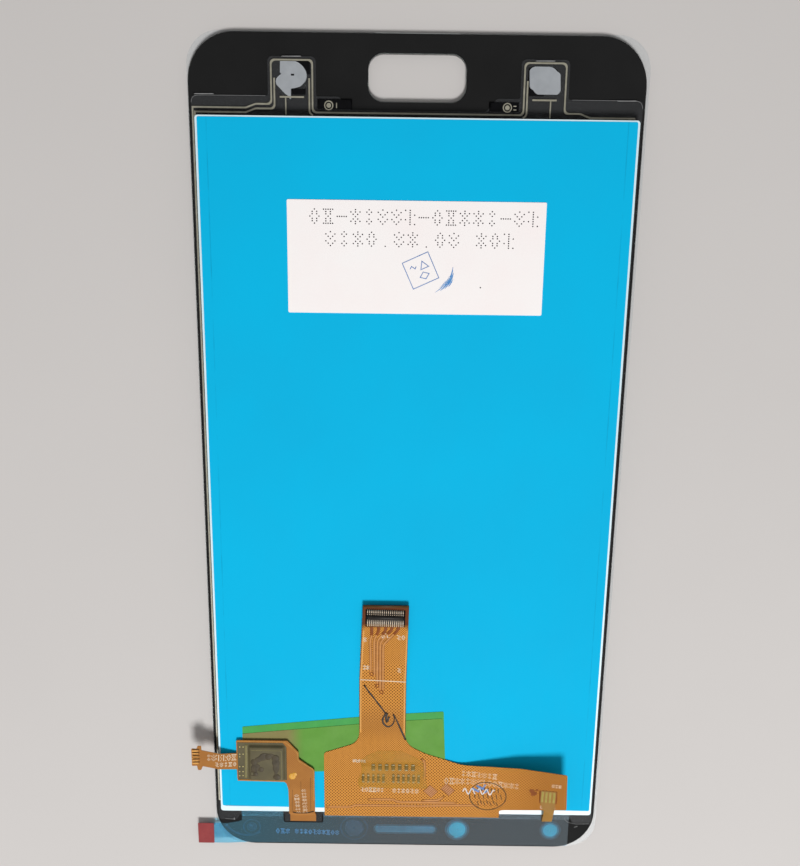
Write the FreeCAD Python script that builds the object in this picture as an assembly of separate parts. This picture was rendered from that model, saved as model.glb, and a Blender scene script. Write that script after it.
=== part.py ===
import FreeCAD, Part
import math
import os

# Phone display assembly, lying on its front. Millimetres.
# X to the right and Y up as seen on its back, Z away from the viewing side.
# The origin is the centre of the cover glass, on the face that it lies on.

# Cover glass and its openings
glass_width = 73.6
glass_length = 148.0
glass_corner = 7.6
glass_thickness = 0.70
glass_edge_bevel = 0.15
home_slot_width = 15.6
home_slot_height = 7.15
home_slot_corner = 2.4
home_slot_from_top = 3.1
ear_slot_length = 11.8
ear_slot_height = 1.4
ear_slot_from_bottom = 3.6

# Protective film on the viewing side
front_film_thickness = 0.08
front_film_corner = 5.4
front_film_overhang = 0.25
front_film_extra_right = 0.35
front_film_slot_gap = 0.2

# Printed black border
ink_thickness = 0.03
ink_edge_gap = 0.12
ink_slot_gap = 0.10
view_rim = 0.55
view_corner = 0.4

# Round windows in the border, two on each side of the ear slot
window_from_bottom = 3.75
camera_window_x = -10.0
camera_window_radius = 2.1
proximity_window_from_left = 6.8
proximity_window_radius = 1.0
light_window_x = 10.2
light_window_radius = 1.65
lamp_window_from_right = 8.35
lamp_window_radius = 1.4

# Display module, placed by what it leaves free of the glass
bezel_left = 1.35
bezel_right = 1.15
bezel_top = 12.9
bezel_bottom = 8.7

# Touch sensor film and its glue
glass_glue_thickness = 0.12
sensor_thickness = 0.125
sensor_side_gap = 0.45
sensor_shoulder = 3.25
sensor_low_edge = 1.9
sensor_foot = 1.35
sensor_foot_width = 3.6
sensor_corner = 0.8
bond_tab_reach = 1.6
bond_tab_border = 1.1

# Silver conductors printed on the sensor film
trace_width = 0.26
trace_thickness = 0.02
trace_clear = 0.80
trace_end_gap = 0.45
trace_pitch = 0.7
trace_margin_rise = 1.4
trace_margin_pitch = 0.36
trace_margin_gap = 0.62
trace_jog_far = 4.15
trace_jog_near = 2.55
trace_jog_rise = 0.6
trace_end_from_edge = 1.8
sensor_shift = 0.19
key_x = 20.25
key_loop_width = 6.6
key_loop_height = 8.65
key_loop_corner = 0.55
key_tab_border = 0.55
key_line_gap = 0.5
key_line_top = 5.95
key_bar_reach = 1.95
key_bar_rise = 3.1
key_stem_x = 1.0
key_stem_width = 0.2
fiducial_x = 14.35
fiducial_rise = 1.9
fiducial_radius = 0.74
fiducial_line = 0.17

# Key windows of the border, filled with grey diffusing ink
key_patch_size = 4.5
key_patch_rise = 6.0

# Liquid crystal cell
display_glue_thickness = 0.15
polariser_thickness = 0.12
cell_glass_thickness = 0.20
cell_gap = 0.30
cell_ledge = 2.80
polariser_gap = 0.55
driver_length = 31.0
driver_width = 1.0
driver_height = 0.20
driver_gap = 0.25

# Backlight
shade_thickness = 0.06
shade_gap = 0.10
prism_thickness = 0.065
diffuser_thickness = 0.05
guide_thickness = 0.55
reflector_thickness = 0.10
frame_wall = 0.75
frame_wall_bottom = 1.0
frame_corner = 0.5
film_pocket_gap = 0.08
led_count = 12
led_length = 3.6
led_depth = 0.9
led_height = 0.45
led_gap = 0.08
strip_thickness = 0.08
guide_ear_length = 2.6
guide_ear_reach = 0.35
guide_ear_from_end = 21.0

# Blue film over the back
back_film_thickness = 0.06
back_film_side = 0.35
back_film_top = 0.25
back_film_bottom = 1.05
back_film_corner = 0.3
back_film_wave = 0.12
back_film_wave_radius = 40.0
back_film_wave_from_left = 20.0
back_film_wave_from_right = 24.0

# Sticker
label_width = 42.3
label_height = 18.25
label_thickness = 0.08
label_x = 0.22
label_from_top = 12.8

# Yellow tapes under the flexes
tape_thickness = 0.05
tape_step = 1.45
tape_from_board = 1.15
tape_past_neck = 11.4
tape_low = 8.2
tape_top = 18.05
tape_low_rise = 1.6
tape_top_rise = 3.7
tape_bow_radius = 20.0

# Display flex: tongue on the cell, fold round the lower edge, body, strip and arm
flex_thickness = 0.12
tongue_length = 1.25
flex_from_leg = 1.85
fold_from_right = 17.65
body_height = 13.2
arm_from_right = 5.25
arm_notch = 1.1
arm_low = 2.75
arm_height = 8.1
arm_lift = 11.5
arm_bend_radius = 8.0
arm_bend_heading = 43.0
arm_bend_clear = 0.05
neck_width = 8.7
neck_from = 17.0
neck_x = -4.55
strip_end_width = 8.36
strip_end_x = -4.10
strip_length = 28.2
strip_rise_from = 15.0
strip_lift = 2.6
strip_bend_radius = 30.0
arm_notch_depth = 0.6
arm_end_slant = 0.45
arm_root_height = 11.35
arm_waist_height = 10.75
arm_waist_x = 10.4
neck_flare = 3.9
neck_flare_low = 12.9
neck_flare_top = 14.9
neck_flare_left = 15.2

# Plug on the end of the strip
stiffener_thickness = 0.25
stiffener_length = 5.2
plug_length = 7.2
plug_width = 3.3
plug_height = 0.75
plug_floor = 0.25
plug_wall = 0.35
plug_rib_width = 0.9
plug_from_end = 0.85
contact_count = 17
contact_width = 0.18
contact_thickness = 0.10
contact_rib_gap = 0.12
contact_foot_reach = 0.28

# Small components on the display flex and the clear cover over them
chip_length = 1.0
chip_width = 0.55
chip_height = 0.38
chip_pitch = 1.25
chip_count = 9
coil_count = 4
coil_pitch = 2.3
coil_length = 1.6
coil_width = 0.8
cover_thickness = 0.05
cover_slope = 0.45
chip_row_x = -3.0
chip_row_rise = 7.4
coil_row_rise = 10.0
chip_cover_border = 0.55
chip_cover_gap = 0.15

# Backlight tail, soldered to the arm
tail_from_right = 8.45
tail_width = 1.9
tail_pad_width = 2.8
tail_pad_length = 2.9
tail_thickness = 0.07
tail_fold_radius = 0.30
tail_overshoot = 2.3
tail_pad_count = 4
tail_edge_clear = 0.25
tail_neck_length = 2.0
tail_shift = 0.35
tail_slot_gap = 0.15
tail_slot_clear = 0.04
pad_thickness = 0.02

# Touch flex: leg bonded to the sensor, board with the touch chip, contact tail
touch_flex_thickness = 0.10
touch_stiffener_thickness = 0.30
touch_leg_from_left = 15.6
touch_leg_width = 5.0
touch_bond_length = 1.1
touch_board_from_left = 3.45
touch_board_width = 9.6
touch_board_top = 15.5
touch_board_height = 8.7
touch_chip_width = 6.0
touch_chip_length = 6.6
touch_chip_height = 0.45
touch_chip_from_right = 0.9
touch_chip_from_top = 1.35
touch_tail_width = 3.4
touch_tail_reach = 8.3
touch_tail_rise = 0.60
touch_tail_end = 0.20
touch_tail_from_top = 4.5
touch_tail_drift = 1.2
touch_end_skew = 0.2
touch_ear_reach = 0.9
touch_ear_from_end = 1.1
touch_finger_count = 6
touch_finger_width = 0.28
touch_finger_length = 1.15
touch_pad_radius = 0.2
touch_pad_from_left = 0.42
touch_pad_pitch = 0.88
touch_cover_border = 0.12

# Light blue film over the lower border, with its pull tab
bezel_film_thickness = 0.05
bezel_film_right = 4.85
bezel_film_edge = 0.35
bezel_film_reach = 1.6
bezel_film_from_feet = 0.9
bezel_film_notch_gap = 0.3
pull_tab_width = 4.4
pull_tab_length = 3.1
pull_tab_thickness = 0.08
pull_tab_overlap = 1.0
pull_tab_from_bottom = 2.3

# Reach of the cutters that trim in plan, well below and above the whole part
cutter_low = -5.0
cutter_height = 30.0

# Heights of the layers, from the face the part lies on
z_glass = front_film_thickness
z_ink = z_glass + glass_thickness
z_border = z_ink + ink_thickness
z_sensor = z_border + glass_glue_thickness
z_trace = z_sensor + sensor_thickness
z_front_polariser = z_trace + display_glue_thickness
z_colour = z_front_polariser + polariser_thickness
z_array = z_colour + cell_glass_thickness
z_rear_polariser = z_array + cell_glass_thickness
z_frame = z_rear_polariser + shade_thickness
z_prism_upper = z_rear_polariser + polariser_thickness
z_prism_lower = z_prism_upper + prism_thickness
z_diffuser = z_prism_lower + prism_thickness
z_guide = z_diffuser + diffuser_thickness
z_reflector = z_guide + guide_thickness
z_back = z_reflector + reflector_thickness
z_film = z_back + back_film_thickness
z_tape_upper = z_film + tape_thickness
z_flex = z_tape_upper + tape_thickness
z_touch = z_flex + touch_stiffener_thickness

# Edges of the glass and of the module in plan
glass_top = glass_length / 2
glass_bottom = -glass_length / 2
module_left = -glass_width / 2 + bezel_left
module_right = glass_width / 2 - bezel_right
module_top = glass_top - bezel_top
module_bottom = glass_bottom + bezel_bottom
window_y = glass_bottom + window_from_bottom
proximity_window_x = -glass_width / 2 + proximity_window_from_left
lamp_window_x = glass_width / 2 - lamp_window_from_right
slot_y = glass_top - home_slot_from_top - home_slot_height / 2
ear_y = glass_bottom + ear_slot_from_bottom
pocket_left = module_left + frame_wall
pocket_right = module_right - frame_wall
pocket_top = module_top - frame_wall
pocket_bottom = module_bottom + frame_wall_bottom
polariser_left = module_left + cell_gap + polariser_gap
polariser_right = module_right - cell_gap - polariser_gap
polariser_top = module_top - cell_gap - polariser_gap
polariser_bottom = module_bottom + cell_gap + cell_ledge + polariser_gap / 2
guide_low = pocket_bottom + 2 * led_gap + led_depth

# Slope of the lifted arm: past its bend line it rises along arm_heading
arm_slope = math.radians(arm_lift)
arm_heading = math.radians(arm_bend_heading)
arm_run = arm_bend_radius * math.tan(arm_slope / 2) + arm_bend_clear

# The neck of the flex ends where the strip starts to rise to its plug
strip_slope = math.radians(strip_lift)
strip_bend_y = module_bottom + strip_length
strip_top = strip_bend_y + strip_rise_from
neck_low = module_bottom + neck_from

# Flexes, placed from the module's edges
fold_right = module_right - fold_from_right
arm_reach = module_right - arm_from_right
tail_x = module_right - tail_from_right
touch_board_left = module_left + touch_board_from_left
touch_board_right = touch_board_left + touch_board_width
touch_leg_x = module_left + touch_leg_from_left
fold_left = touch_leg_x + touch_leg_width / 2 + flex_from_leg
touch_board_y = module_bottom + touch_board_top
touch_bond_y = module_bottom - sensor_low_edge - bond_tab_reach / 2
pull_tab_y = glass_bottom + pull_tab_from_bottom


def vector(x, y, z=0.0):
    return FreeCAD.Vector(x, y, z)


def direction(start, end):
    dx = end[0] - start[0]
    dy = end[1] - start[1]
    size = math.hypot(dx, dy)
    return dx / size, dy / size, size


def rounded_corner(before, corner, after):
    """Tangent points and middle of the arc that rounds one corner, or the bare corner."""
    ux, uy, reach_in = direction(before, corner)
    vx, vy, reach_out = direction(corner, after)
    half_turn = math.acos(max(-1.0, min(1.0, ux * vx + uy * vy))) / 2
    radius = corner[2]
    if radius <= 0 or half_turn < 1e-4:
        return [(corner[0], corner[1])]
    run = min(radius * math.tan(half_turn), reach_in / 2, reach_out / 2)
    radius = run / math.tan(half_turn)
    away = radius / math.cos(half_turn) - radius
    bx, by, _ = direction((ux, uy), (vx, vy))
    start = (corner[0] - ux * run, corner[1] - uy * run)
    middle = (corner[0] + bx * away, corner[1] + by * away)
    end = (corner[0] + vx * run, corner[1] + vy * run)
    return [start, middle, end]


def outline_edges(corners, place):
    """Closed line through corners (x, y, radius): straight runs joined by tangent arcs."""
    rounded = []
    for i, corner in enumerate(corners):
        after = corners[(i + 1) % len(corners)]
        rounded.append(rounded_corner(corners[i - 1], corner, after))
    edges = []
    for i, points in enumerate(rounded):
        if len(points) == 3:
            edges.append(Part.Arc(*[place(*p) for p in points]).toShape())
        leave = place(*points[-1])
        arrive = place(*rounded[(i + 1) % len(rounded)][0])
        if leave.distanceToPoint(arrive) > 1e-6:
            edges.append(Part.LineSegment(leave, arrive).toShape())
    return edges


def plate(corners, z, thickness):
    """Flat piece of one outline, its lower face at height z."""
    edges = outline_edges(corners, lambda x, y: vector(x, y, z))
    return Part.Face(Part.Wire(edges)).extrude(vector(0, 0, thickness))


def column(corners):
    """Tall cutter of one outline, used to trim bent sheets in plan."""
    return plate(corners, cutter_low, cutter_height)


def rectangle(left, bottom, right, top, radius=0.0):
    return [(left, bottom, radius), (right, bottom, radius), (right, top, radius), (left, top, radius)]


def centred(x, y, width, height, radius=0.0):
    return rectangle(x - width / 2, y - height / 2, x + width / 2, y + height / 2, radius)


def disc(x, y, radius, z, thickness):
    return Part.makeCylinder(radius, thickness, vector(x, y, z))


def offset_path(path, distance):
    """The path moved to its left by a distance, with each bend's radius kept concentric."""
    moved = []
    for i, (s, h, radius) in enumerate(path):
        before = direction(path[i - 1], path[i]) if i > 0 else direction(path[0], path[1])
        after = direction(path[i], path[i + 1]) if i < len(path) - 1 else before
        blend = 1 + before[0] * after[0] + before[1] * after[1]
        ds = -(before[1] + after[1]) / blend
        dh = (before[0] + after[0]) / blend
        turn = before[0] * after[1] - before[1] * after[0]
        grown = radius - math.copysign(distance, turn) if radius > 0 else 0.0
        moved.append((s + ds * distance, h + dh * distance, max(grown, 0.0)))
    return moved


def bent_sheet(path, thickness, length, heading=0.0, start=(0.0, 0.0)):
    """Sheet of even thickness on the left of a path (distance, height, bend radius).

    The path runs from start along heading, and the sheet is as wide as length across it.
    """
    profile = path + offset_path(path, thickness)[::-1]
    edges = outline_edges(profile, lambda s, h: vector(s, -length / 2, h))
    sheet = Part.Face(Part.Wire(edges)).extrude(vector(0, length, 0))
    sheet.rotate(vector(0, 0, 0), vector(0, 0, 1), heading)
    sheet.translate(vector(start[0], start[1], 0))
    return sheet


def joined(shapes):
    whole = shapes[0]
    for shape in shapes[1:]:
        whole = whole.fuse(shape)
    return whole.removeSplitter()


def turned(shape, angle, y, z):
    """Lay a shape, built round the origin, on a surface that rises by angle along Y."""
    shape.rotate(vector(0, 0, 0), vector(1, 0, 0), angle)
    shape.translate(vector(0, y, z))
    return shape


# Cover glass, its film and its printed border

def home_slot(gap):
    width = home_slot_width + 2 * gap
    return centred(0, slot_y, width, home_slot_height + 2 * gap, home_slot_corner + gap)


def ear_slot(gap):
    height = ear_slot_height + 2 * gap
    return centred(0, ear_y, ear_slot_length + 2 * gap, height, height / 2)


def glass_outline(inset):
    width = glass_width - 2 * inset
    return centred(0, 0, width, glass_length - 2 * inset, glass_corner - inset)


def make_cover_glass():
    glass = plate(glass_outline(0), z_glass, glass_thickness)
    rim = [e for e in glass.Edges if abs(e.BoundBox.ZMax - e.BoundBox.ZMin) < 1e-6]
    glass = glass.makeChamfer(glass_edge_bevel, rim)
    glass = glass.cut(column(home_slot(0)))
    return glass.cut(column(ear_slot(0)))


def make_front_film():
    side = glass_width / 2 + front_film_overhang
    end = glass_length / 2 + front_film_overhang
    corners = rectangle(-side, -end, side + front_film_extra_right, end, front_film_corner)
    film = plate(corners, 0, front_film_thickness)
    return film.cut(column(home_slot(front_film_slot_gap)))


def left_patch_outline():
    """Left key window: a round key with a square shoulder and a pointed foot."""
    half = key_patch_size / 2
    x = sensor_shift - key_x
    y = module_top + key_patch_rise
    return [(x - 0.8 * half, y + 0.9 * half, 0.1), (x + 0.2, y + 0.9 * half, 0.1),
            (x + half, y + 0.9 * half, half), (x + half, y - half, half),
            (x - 0.05 * half, y - half, 0.0), (x - 0.05 * half, y - 1.5 * half, 0.1),
            (x - 0.35 * half, y - 1.5 * half, 0.1), (x - 1.15 * half, y - 0.55 * half, 0.5),
            (x - 0.8 * half, y - 0.05 * half, 0.2)]


def right_patch_outline():
    """Right key window: a rounded square, notched at two opposite corners."""
    half = key_patch_size / 2
    notch = 0.28 * half
    x = sensor_shift + key_x - 0.02
    y = module_top + key_patch_rise + 0.05
    return [(x - half, y + half, 0.6), (x + half - notch, y + half, 0.5),
            (x + half - notch, y + half - notch, 0.1), (x + half, y + half - notch, 0.4),
            (x + half, y - half, 0.6), (x - half + notch, y - half, 0.5),
            (x - half + notch, y - half + notch, 0.1), (x - half, y - half + notch, 0.4)]


def dark_windows():
    return [(camera_window_x, camera_window_radius), (proximity_window_x, proximity_window_radius)]


def clear_windows():
    return [(light_window_x, light_window_radius), (lamp_window_x, lamp_window_radius)]


def make_ink_border():
    ink = plate(glass_outline(ink_edge_gap), z_ink, ink_thickness)
    ink = ink.cut(column(view_area()))
    ink = ink.cut(column(home_slot(ink_slot_gap)))
    ink = ink.cut(column(ear_slot(ink_slot_gap)))
    ink = ink.cut(column(left_patch_outline()))
    ink = ink.cut(column(right_patch_outline()))
    for x, radius in dark_windows() + clear_windows():
        ink = ink.cut(disc(x, window_y, radius, z_ink, ink_thickness))
    return ink


def make_sensor_windows():
    """Tinted ink that fills the camera and proximity windows."""
    tints = [disc(x, window_y, radius, z_ink, ink_thickness) for x, radius in dark_windows()]
    return Part.makeCompound(tints)


# Touch sensor, glue and conductors

def sensor_outline():
    """Sensor film: a key tab each side of the home slot, a bond tab and two feet below."""
    left = -glass_width / 2 + sensor_side_gap
    right = glass_width / 2 - sensor_side_gap
    shoulder = module_top + sensor_shoulder
    low = module_bottom - sensor_low_edge
    foot = low - sensor_foot
    neck = module_top + 1.25
    lobe = fiducial_x + 2.6
    tab_out = key_x + key_loop_width / 2 + key_tab_border
    tab_in = key_x - key_loop_width / 2 - key_tab_border
    tab_top = module_top + key_loop_height + key_tab_border
    bond_left = touch_leg_x - touch_leg_width / 2 - bond_tab_border
    bond_right = touch_leg_x + touch_leg_width / 2 + bond_tab_border
    bond_low = low - bond_tab_reach
    r = sensor_corner
    return [(left, foot, r), (left + sensor_foot_width, foot, r),
            (left + sensor_foot_width + 0.6, low, r), (bond_left, low, 0.2),
            (bond_left, bond_low, 0.2), (bond_right, bond_low, 0.2), (bond_right, low, 0.2),
            (right - sensor_foot_width - 0.6, low, r), (right - sensor_foot_width, foot, r),
            (right, foot, r), (right, shoulder, r), (sensor_shift + tab_out, shoulder, 0.3),
            (sensor_shift + tab_out, tab_top, r), (sensor_shift + tab_in, tab_top, r),
            (sensor_shift + tab_in, shoulder, 0.3), (sensor_shift + lobe - 4.3, shoulder, r),
            (sensor_shift + lobe - 6.0, neck, r), (sensor_shift - lobe + 6.0, neck, r),
            (sensor_shift - lobe + 4.3, shoulder, r), (sensor_shift - tab_in, shoulder, 0.3),
            (sensor_shift - tab_in, tab_top, r), (sensor_shift - tab_out, tab_top, r),
            (sensor_shift - tab_out, shoulder, 0.3), (left, shoulder, r)]


def make_glass_adhesive():
    """Clear glue between glass and sensor: it also fills the step inside the ink border."""
    over_ink = plate(sensor_outline(), z_border, glass_glue_thickness)
    return joined([over_ink, plate(view_area(), z_ink, ink_thickness)])


def make_touch_sensor():
    return plate(sensor_outline(), z_sensor, sensor_thickness)


def trace(points, width=None):
    """One printed line of even width through points (x, y, bend radius)."""
    half = (width or trace_width) / 2
    corners = offset_path(points, half) + offset_path(points, -half)[::-1]
    return plate(corners, z_trace, trace_thickness)


def key_point(side, x, rise, radius=0.0):
    return sensor_shift + side * x, module_top + rise, radius


def outer_trace():
    """From the left margin over the left key, under the home slot and over the right key."""
    inner = key_x - key_loop_width / 2
    outer = key_x + key_loop_width / 2
    far = outer + trace_jog_far
    near = outer + trace_jog_near
    top = key_loop_height
    bend = key_loop_corner
    left_rise = trace_margin_rise + trace_jog_rise
    right_rise = trace_clear - trace_jog_rise / 2
    return [(bus_x(0), module_top + trace_margin_rise, 0.0),
            key_point(-1, far, trace_margin_rise, 1.0), key_point(-1, near, left_rise, 1.0),
            key_point(-1, outer, left_rise, 0.8), key_point(-1, outer, top, bend),
            key_point(-1, inner, top, bend), key_point(-1, inner, trace_clear, 0.8),
            key_point(1, inner, trace_clear, 0.8), key_point(1, inner, top, bend),
            key_point(1, outer, top, bend), key_point(1, outer, right_rise + trace_jog_rise, 0.8),
            key_point(1, near, right_rise + trace_jog_rise, 1.0), key_point(1, far, right_rise, 1.0),
            key_point(1, glass_width / 2 - trace_end_from_edge, right_rise)]


def inner_trace():
    """Second line of the left loop, from the margin up to the key window."""
    outer = key_x + key_loop_width / 2
    low = trace_margin_rise - trace_pitch
    x = outer - key_line_gap
    return [(bus_x(1), module_top + low, 0.0), key_point(-1, outer + trace_jog_far, low, 1.0),
            key_point(-1, outer + trace_jog_near, low + trace_jog_rise, 1.0),
            key_point(-1, x, low + trace_jog_rise, 0.8), key_point(-1, x, key_line_top)]


def bus_x(order):
    """The two margin lines run side by side between the glass edge and the module."""
    return module_left - trace_margin_gap + trace_margin_pitch * order


def bus_trace(order):
    """Margin line, down the left side and along the ledge to the flex bond."""
    x = bus_x(order)
    rise = trace_margin_rise - trace_pitch * order
    turn = module_bottom + 1.2 + trace_margin_pitch * order
    bond_x = touch_leg_x - touch_leg_width / 2 + 1.0 - 0.5 * order
    end = touch_bond_y + touch_bond_length / 2 + trace_end_gap
    return [(x, module_top + rise + trace_width / 2, 0.0), (x, turn, 0.3), (bond_x, turn, 0.3),
            (bond_x, end, 0.0)]


def key_line(side):
    """Line inside a loop, on its inner side, with a short slanting foot."""
    inner = key_x - key_loop_width / 2 + key_line_gap
    return trace([key_point(side, inner, key_line_top), key_point(side, inner, trace_clear, 0.7),
                  key_point(side, inner - 0.55, 0.3)])


def key_bar(side):
    """Bar below a key window, with a thin stem down to the module."""
    bar = trace([key_point(side, key_x - key_bar_reach, key_bar_rise),
                 key_point(side, key_x + key_bar_reach, key_bar_rise)])
    stem = trace([key_point(side, key_x + key_stem_x, key_bar_rise),
                  key_point(side, key_x + key_stem_x, 0.4)], key_stem_width)
    return joined([bar, stem])


def fiducial(side):
    """Target mark beside the home slot: a ring round a disc."""
    x, y, _ = key_point(side, fiducial_x, fiducial_rise)
    ring = disc(x, y, fiducial_radius, z_trace, trace_thickness)
    ring = ring.cut(disc(x, y, fiducial_radius - fiducial_line, z_trace, trace_thickness))
    return [ring, disc(x, y, fiducial_radius / 2, z_trace, trace_thickness)]


def make_touch_traces():
    lines = [trace(outer_trace()), trace(inner_trace()), trace(bus_trace(0)), trace(bus_trace(1))]
    for side in (-1, 1):
        lines.append(key_line(side))
        lines.append(key_bar(side))
        lines.extend(fiducial(side))
    return joined(lines)


# Liquid crystal cell

def view_area():
    """The window of the ink border: the polariser's outline less its hidden rim."""
    return rectangle(polariser_left + view_rim, polariser_bottom + view_rim,
                     polariser_right - view_rim, polariser_top - view_rim, view_corner)


def cell_plate(z, ledge):
    corners = rectangle(module_left + cell_gap, module_bottom + cell_gap + ledge,
                        module_right - cell_gap, module_top - cell_gap, 0.2)
    return plate(corners, z, cell_glass_thickness)


def polariser_plate(z, thickness):
    corners = rectangle(polariser_left, polariser_bottom, polariser_right, polariser_top, 0.2)
    return plate(corners, z, thickness)


def make_driver_ic():
    y = module_bottom + cell_gap + cell_ledge - driver_gap - driver_width / 2
    x = (module_left + module_right) / 2
    return plate(centred(x, y, driver_length, driver_width), z_array - driver_height, driver_height)


# Backlight

def make_shading_tape():
    corners = rectangle(module_left + cell_gap, module_bottom + cell_gap,
                        module_right - cell_gap, module_top - cell_gap, 0.2)
    window = rectangle(polariser_left - shade_gap, polariser_bottom - shade_gap,
                       polariser_right + shade_gap, polariser_top + shade_gap, 0.2)
    return plate(corners, z_rear_polariser, shade_thickness).cut(column(window))


def pocket_plate(z, thickness, low):
    """A layer of the backlight that fills the frame's pocket down to its lower end."""
    gap = film_pocket_gap
    corners = rectangle(pocket_left + gap, low, pocket_right - gap, pocket_top - gap, 0.2)
    return plate(corners, z, thickness)


def guide_ears(gap):
    """Ears that locate the light guide in notches of the frame, two on each long side."""
    reach = guide_ear_reach + gap
    ears = []
    for y in (pocket_bottom + guide_ear_from_end, pocket_top - guide_ear_from_end):
        for x in (pocket_left, pocket_right):
            ears.append(plate(centred(x, y, 2 * reach, guide_ear_length + 2 * gap, 0.1),
                              z_guide, guide_thickness))
    return ears


def make_light_guide():
    return joined([pocket_plate(z_guide, guide_thickness, guide_low)] + guide_ears(0))


def tail_slot():
    """Gap in the frame's lower wall that the backlight tail leaves through."""
    slot = centred(tail_x, module_bottom + frame_wall_bottom / 2,
                   tail_width + 2 * tail_slot_gap, frame_wall_bottom + 2 * tail_slot_gap)
    return plate(slot, z_reflector - strip_thickness - tail_slot_clear,
                 strip_thickness + 2 * tail_slot_clear)


def make_backlight_frame():
    height = z_back - z_frame
    frame = plate(rectangle(module_left, module_bottom, module_right, module_top, frame_corner),
                  z_frame, height)
    frame = frame.cut(plate(rectangle(pocket_left, pocket_bottom, pocket_right, pocket_top, 0.3),
                            z_frame, height))
    for notch in guide_ears(film_pocket_gap):
        frame = frame.cut(notch)
    return frame.cut(tail_slot())


def make_leds():
    """Lamps in a row along the lower end of the light guide."""
    span = pocket_right - pocket_left
    pitch = span / led_count
    y = pocket_bottom + led_gap + led_depth / 2
    z = z_reflector - strip_thickness - led_height
    lamps = []
    for i in range(led_count):
        x = pocket_left + pitch * (i + 0.5)
        lamps.append(plate(centred(x, y, led_length, led_depth), z, led_height))
    return Part.makeCompound(lamps)


def make_back_film():
    """Film whose lower edge waves a little, as cut by hand."""
    low = module_bottom + back_film_bottom
    left = module_left + back_film_side
    right = module_right - back_film_side
    top = module_top - back_film_top
    corners = [(left, low + back_film_wave, back_film_corner),
               (module_left + back_film_wave_from_left, low - back_film_wave, back_film_wave_radius),
               (module_right - back_film_wave_from_right, low + back_film_wave, back_film_wave_radius),
               (right, low - back_film_wave, back_film_corner), (right, top, back_film_corner),
               (left, top, back_film_corner)]
    return plate(corners, z_back, back_film_thickness)


def make_label():
    y = module_top - label_from_top - label_height / 2
    return plate(centred(label_x, y, label_width, label_height, 0.25), z_film, label_thickness)


def tape_outline(inset):
    """Strip of tape from the touch flex to past the display flex, torn a little askew."""
    left = touch_board_left + tape_from_board
    right = neck_x + tape_past_neck
    top = module_bottom + tape_top - inset
    low = module_bottom + tape_low + inset / 5
    return [(left, low, 0.0), (right + 0.6, low + tape_low_rise, 0.0),
            (right - inset / 8, top + tape_top_rise, 0.3),
            (neck_x + neck_width / 2, top + 0.86 * tape_top_rise, tape_bow_radius),
            (neck_x - neck_width / 2, top + 0.64 * tape_top_rise, tape_bow_radius), (left, top, 0.2)]


# Display flex

def arm_path(rise=0.0):
    """Level from far left, then up at the arm's lift past the bend line."""
    path = [(-glass_width, z_flex, 0.0), (0.0, z_flex, arm_bend_radius),
            (arm_reach, z_flex + arm_reach * math.tan(arm_slope), 0.0)]
    return offset_path(path, rise)


def arm_sheet(rise, thickness):
    """Bent sheet over the lifted arm: the bend line runs askew past the end of the fold."""
    start = (fold_right + arm_run * math.cos(arm_heading),
             module_bottom + arm_run * math.sin(arm_heading))
    return bent_sheet(arm_path(rise), thickness, glass_length, arm_bend_heading, start)


def arm_height_at(x, y, rise):
    """Height of the straight part of the arm, rise above the sheet's lower face."""
    across = (x - fold_right) * math.cos(arm_heading)
    along = across + (y - module_bottom) * math.sin(arm_heading) - arm_run
    return z_flex + along * math.tan(arm_slope) + rise / math.cos(arm_slope)


def strip_path(rise=0.0):
    """The neck is level, and the strip rises gently towards its plug."""
    reach = strip_rise_from + 1.0
    path = [(neck_low, z_flex, 0.0), (strip_bend_y, z_flex, strip_bend_radius),
            (strip_bend_y + reach, z_flex + reach * math.tan(strip_slope), 0.0)]
    return offset_path(path, rise)


def strip_sheet(rise, thickness):
    return bent_sheet(strip_path(rise), thickness, glass_width, 90.0)


def body_outline():
    """Body, neck and arm of the flex in plan, from the fold line up to the neck."""
    low = module_bottom
    shoulder = low + body_height
    notch_x = fold_right + arm_notch_depth
    arm_top = low + arm_low + arm_height
    neck_left = neck_x - neck_width / 2
    neck_right = neck_x + neck_width / 2
    top = strip_bend_y
    return [(fold_left, low, 0.0), (fold_right, low, 0.0), (fold_right, low + 0.9, 0.25),
            (notch_x, low + arm_notch, 0.25), (arm_reach, low + arm_low, 0.3),
            (arm_reach - arm_end_slant, arm_top, 0.3), (fold_right + 3.4, low + arm_root_height, 20),
            (arm_waist_x, low + arm_waist_height, 8), (neck_right + neck_flare, low + neck_flare_low, 12),
            (neck_right - 0.05, low + neck_flare_top, 3.2), (neck_right - 0.1, top, 0.0),
            (neck_left, top, 0.0), (neck_left, low + neck_flare_left, 2.6),
            (fold_left - 0.05, shoulder - 0.3, 0.8)]


def strip_outline(length, inset=0.0):
    """End of the strip in plan: from the plug end down by length, no further than the neck."""
    top = strip_top
    share = min(length / strip_rise_from, 1.0)
    low = top - min(length, strip_rise_from)
    low_x = strip_end_x + (neck_x - 0.05 - strip_end_x) * share
    low_width = strip_end_width + (neck_width - 0.1 - strip_end_width) * share - 2 * inset
    top_width = strip_end_width - 2 * inset
    return [(low_x - low_width / 2, low, 0.0), (low_x + low_width / 2, low, 0.0),
            (strip_end_x + top_width / 2, top - inset, 0.2),
            (strip_end_x - top_width / 2, top - inset, 0.2)]


def fold_path():
    """Inner face of the fold: under the cell's ledge, round its edge and onto the back."""
    inner = (z_flex - z_array) / 2
    far = module_bottom - inner
    tongue = module_bottom + cell_gap + tongue_length
    return [(tongue, z_array, 0.0), (far, z_array, inner), (far, z_flex, inner),
            (module_bottom, z_flex, 0.0)]


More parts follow.
